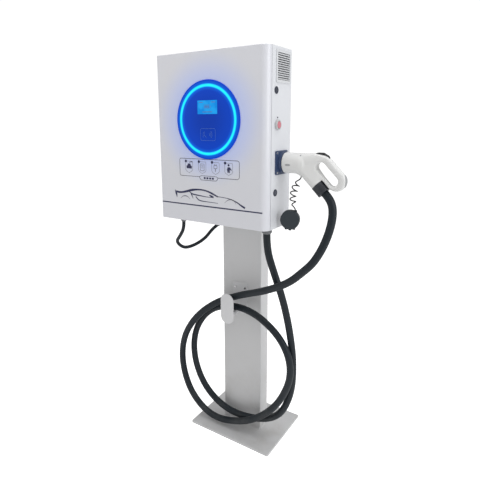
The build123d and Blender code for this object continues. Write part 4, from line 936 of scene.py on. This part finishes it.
def loop_frames(count=120):
    """Centre, outward direction and half width of the handle loop all the way round."""
    frames = []
    mid_r = (LOOP_R + SLOT_R) / 2
    for k in range(count):
        share = k / count
        here = stadium_ray(LOOP_SHIFT / 2, mid_r, SLOT_LEN + LOOP_TAIL / 2, share)
        ahead = stadium_ray(LOOP_SHIFT / 2, mid_r, SLOT_LEN + LOOP_TAIL / 2, (share + 0.002) % 1)
        along = (ahead - here).normalized()
        out = Vector((-along.z, 0, along.x))
        wide = LOOP_SHIFT / 2 * out.dot(ACROSS) + LOOP_TAIL / 2 * max(0.0, out.dot(ALONG))
        frames.append((here + GUN_MID, out, (LOOP_R - SLOT_R) / 2 + wide))
    return frames


def loop_section(centre, out, half_out, grow=0.0, count=28, span=None):
    """Rounded-square section of the handle loop, or only the part of it within a span of angles."""
    half_y, power = LOOP_T / 2, 2.6
    points = []
    start, end = span or (0.0, 2 * math.pi)
    for k in range(count):
        a = start + (end - start) * k / (count if span is None else count - 1)
        c, s = math.cos(a), math.sin(a)
        r = (abs(c) ** power + abs(s) ** power) ** (-1 / power)
        points.append(centre + out * (half_out + grow) * r * c + (half_y + grow) * r * s * BACK)
    return points


def connector_shell():
    """White moulded shell, blended from barrel, neck, grip and handle loop."""
    barrel = turned("barrel", BARREL_MID, RIGHT, (
        (RIM_X, BARREL_R - 0.0008), (RIM_X + 0.0012, BARREL_R), (0.362, BARREL_R), (0.378, 0.0375),
        (0.386, 0.030)))
    grip_top = CUFF_START - ALONG * 0.062 + GUN_MID
    neck = hull("neck", [circle_ring(BARREL_MID + RIGHT * 0.344, RIGHT, BARREL_R),
                         circle_ring(BARREL_MID + RIGHT * 0.362, RIGHT, 0.0405),
                         circle_ring(grip_top - ALONG * 0.012, ALONG, 0.0295),
                         circle_ring(grip_top, ALONG, 0.0278)])
    shoulder = hull("shoulder", [circle_ring(BARREL_MID + RIGHT * 0.336, RIGHT, BARREL_R), paired(
        (424, 1413.5, 10), (450, 1409.5, 9), (468, 1400, 8), (422, 1411, 19), (446, 1406, 18),
        (464, 1396, 16), (430, 1386, 21), (424, 1376, 22))])
    web = hull("web", [circle_ring(BARREL_MID + RIGHT * 0.352, RIGHT, 0.036),
                       circle_ring(CUFF_START - ALONG * 0.003 + GUN_MID, ALONG, 0.0255),
                       paired((436, 1396, 18), (416, 1367.6, 18), (454, 1331, 14), (462, 1322, 9))])
    grip = turned("grip", CUFF_START + GUN_MID, ALONG, ((-0.10, GRIP_R), (0.004, GRIP_R)), 64)
    slot = hull("slot", [[stadium_ray(0, SLOT_R + 0.001, SLOT_LEN, k / 64) + (GUN_Y + s * 0.06) * BACK
                          for k in range(64)] for s in (-1, 1)])
    for piece in (neck, shoulder, web):
        apply_modifier(piece, "BOOLEAN", operation="DIFFERENCE", object=slot, solver="EXACT")
    frames = loop_frames()
    loop = rings_mesh("loop", [loop_section(*place) for place in frames], closed=True)
    shell = join("connector_shell", [barrel, neck, shoulder, web, grip, loop])
    apply_modifier(shell, "REMESH", mode="VOXEL", voxel_size=SKIN_STEP, adaptivity=0.0)
    apply_modifier(shell, "SMOOTH", factor=0.5, iterations=14)
    pocket = plate("pocket", [
        (294.8, 1409.6), (346.8, 1409.6), (350.8, 1401.8), (368, 1401.6), (426, 1398.1), (446, 1398.8),
        (464, 1389.8), (475.6, 1394), (481, 1407), (470, 1440), (294.8, 1440)],
        GUN_Y - LATCH_SLOT, GUN_Y + LATCH_SLOT)
    bore = turned("bore", BARREL_MID, RIGHT, ((0.280, BORE_R), (0.346, BORE_R)), 96)
    end = turned("end", CUFF_START + GUN_MID, ALONG, ((0, 0.034), (0.02, 0.034)))
    pin = turned("pin_hole", LATCH_PIN, BACK, ((-0.08, LATCH_PIN_R), (0.08, LATCH_PIN_R)), 20)
    for cutter in (pocket, bore, end, pin):
        apply_modifier(shell, "BOOLEAN", operation="DIFFERENCE", object=cutter, solver="EXACT")
    for cutter in (pocket, bore, end, pin, slot):
        bpy.data.objects.remove(cutter)
    smooth(shell, 35)
    dress(shell, FINISH["gun_white"], "connector")
    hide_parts("gun_shell_near", "gun_shell_far")
    tip_bumper(frames)
    badge()


def tip_bumper(frames):
    """Grey rubbing patch let into the loop's outer end."""
    chosen = [f for f in frames if (f[0] - GUN_MID - SLOT_TOP).dot(ALONG) > SLOT_LEN + 0.005
              and (f[0] - GUN_MID - SLOT_TOP).dot(ACROSS) > 0.010]
    points_across = 11
    rings = []
    for i, (centre, out, half) in enumerate(chosen):
        ease = math.sin(math.pi * (i + 0.35) / (len(chosen) - 0.3)) ** 0.5
        span = 0.60 * ease
        top = loop_section(centre, out, half, 0.0006, points_across, (-span, span))
        under = loop_section(centre, out, half, -0.003, points_across, (-span, span))
        rings.append(top + under[::-1])
    bumper = rings_mesh("loop_bumper", rings)
    smooth(bumper, 40)
    dress(bumper, FINISH["gun_grey"], "connector")
    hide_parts("gun_tip_insert")


def badge():
    """Blank oval badge moulded on the barrel."""
    rings = []
    for height, grow in ((-0.0006, 1.0), (0.0002, 1.0), (0.0005, 0.93)):
        ring = []
        for a in round_angles(36):
            x, z = 0.320 + 0.0115 * grow * math.cos(a), 1.369 + 0.0042 * grow * math.sin(a)
            depth = math.sqrt(BARREL_R ** 2 - (z - BARREL_MID.z) ** 2) + height
            ring.append(Vector((x, GUN_Y - depth, z)))
        rings.append(ring)
    dress(rings_mesh("barrel_badge", rings), FINISH["gun_grey"], "connector")


# ---------------------------------------------------------------- small things that finish the metalwork
def weld_bead(name, path, radius):
    """Rippled bead along a closed path of points."""
    bead = drawn_line(name, path, radius, True, 3,
                      lambda i: 1 + 0.10 * math.sin(i * 2.1) + 0.05 * math.sin(i * 0.7))
    smooth(bead, 60)
    return bead


def post_weld():
    """Bead where the post meets its base plate."""
    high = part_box("post_tube")[1]
    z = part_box("base_plate")[1].z + 0.0008
    x, y, r = high.x, high.y, 0.004
    path = []
    for cx, cy, start in ((x - r, y - r, 0), (-x + r, y - r, 90),
                          (-x + r, -y + r, 180), (x - r, -y + r, 270)):
        for k in range(5):
            a = math.radians(start + 90 * k / 4)
            path.append(Vector((cx + r * math.cos(a), cy + r * math.sin(a), z)))
    dense = []
    for i, a in enumerate(path):
        b = path[(i + 1) % len(path)]
        steps = max(1, round((b - a).length / 0.0022))
        dense += [a.lerp(b, k / steps) for k in range(steps)]
    dress(weld_bead("foot_weld", dense, 0.0026), FINISH["post_paint"], "post")


def hook_welds():
    """Beads at both ends of the hook's arm."""
    low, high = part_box("cable_hook")
    x, z, r = (low.x + high.x) / 2, 0.637, 0.012
    beads = []
    for y in (-0.0389, -0.1491):
        path = [Vector((x + r * math.cos(a), y, z + r * math.sin(a))) for a in round_angles(40)]
        beads.append(weld_bead("ring", path, 0.0022))
    dress(join("hook_welds", beads), FINISH["hook_paint"], "post")


# ---------------------------------------------------------------- room
def studio():
    """Pale floor, pale surroundings and three soft lights."""
    far, drop = 60, -0.0004
    floor = mesh_object("floor", [(-far, -far, drop), (far, -far, drop), (far, far, drop), (-far, far, drop)],
                        [(0, 1, 2, 3)])
    pale = bpy.data.materials.new("floor_pale")
    pale.use_nodes = True
    shader = pale.node_tree.nodes["Principled BSDF"]
    shader.inputs["Base Color"].default_value = (0.9, 0.9, 0.9, 1)
    shader.inputs["Roughness"].default_value = 0.9
    shader.inputs["Emission Color"].default_value = (1, 1, 1, 1)
    f = Wiring(pale.node_tree)
    direct = f.node("LightPath").outputs["Is Camera Ray"]
    speck = f.noise(f.place(), 60, 2)
    f.join(f.mix(speck, (0.86, 0.86, 0.86), (0.91, 0.91, 0.91)), shader.inputs["Base Color"])
    f.join(f.math("ADD", f.math("MULTIPLY", direct, 0.46), 0.22), shader.inputs["Emission Strength"])
    floor.data.materials.append(pale)
    world = bpy.data.worlds.new("studio")
    bpy.context.scene.world = world
    world.use_nodes = True
    w = Wiring(world.node_tree)
    back = world.node_tree.nodes["Background"]
    back.inputs["Color"].default_value = (1, 1, 1, 1)
    seen = w.node("LightPath").outputs["Is Camera Ray"]
    w.join(w.math("ADD", w.math("MULTIPLY", seen, 0.55), 0.50), back.inputs["Strength"])
    for name, place, size, power, colour in (
            ("top", (0.3, -0.4, 3.9), 3.0, 62, (1, 1, 1)),
            ("right", (3.6, -0.4, 2.2), 2.4, 52, (0.96, 0.98, 1)),
            ("left", (-2.8, -3.4, 2.3), 2.4, 14, (1, 0.99, 0.98))):
        light = bpy.data.lights.new(name, "AREA")
        light.size = size
        light.energy = power
        light.color = colour
        lamp = add_object(name, light)
        lamp.location = place
        lamp.rotation_euler = (Vector((0, -0.1, 1.1)) - Vector(place)).to_track_quat("-Z", "Y").to_euler()


place_camera()
studio()
dress_cad()
charging_cable(FINISH["cable_jacket"])
supply_cable(FINISH["cable_jacket"])
curly_tether(FINISH["tether_jacket"])
connector_shell()
car_print(DOOR_FRONT - 0.00005)
instruction_print(DOOR_FRONT - 0.00005)
screen_contents(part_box("lcd_module")[0].y - 0.0001, LENS_LOW.y - 0.0001)
post_weld()
hook_welds()
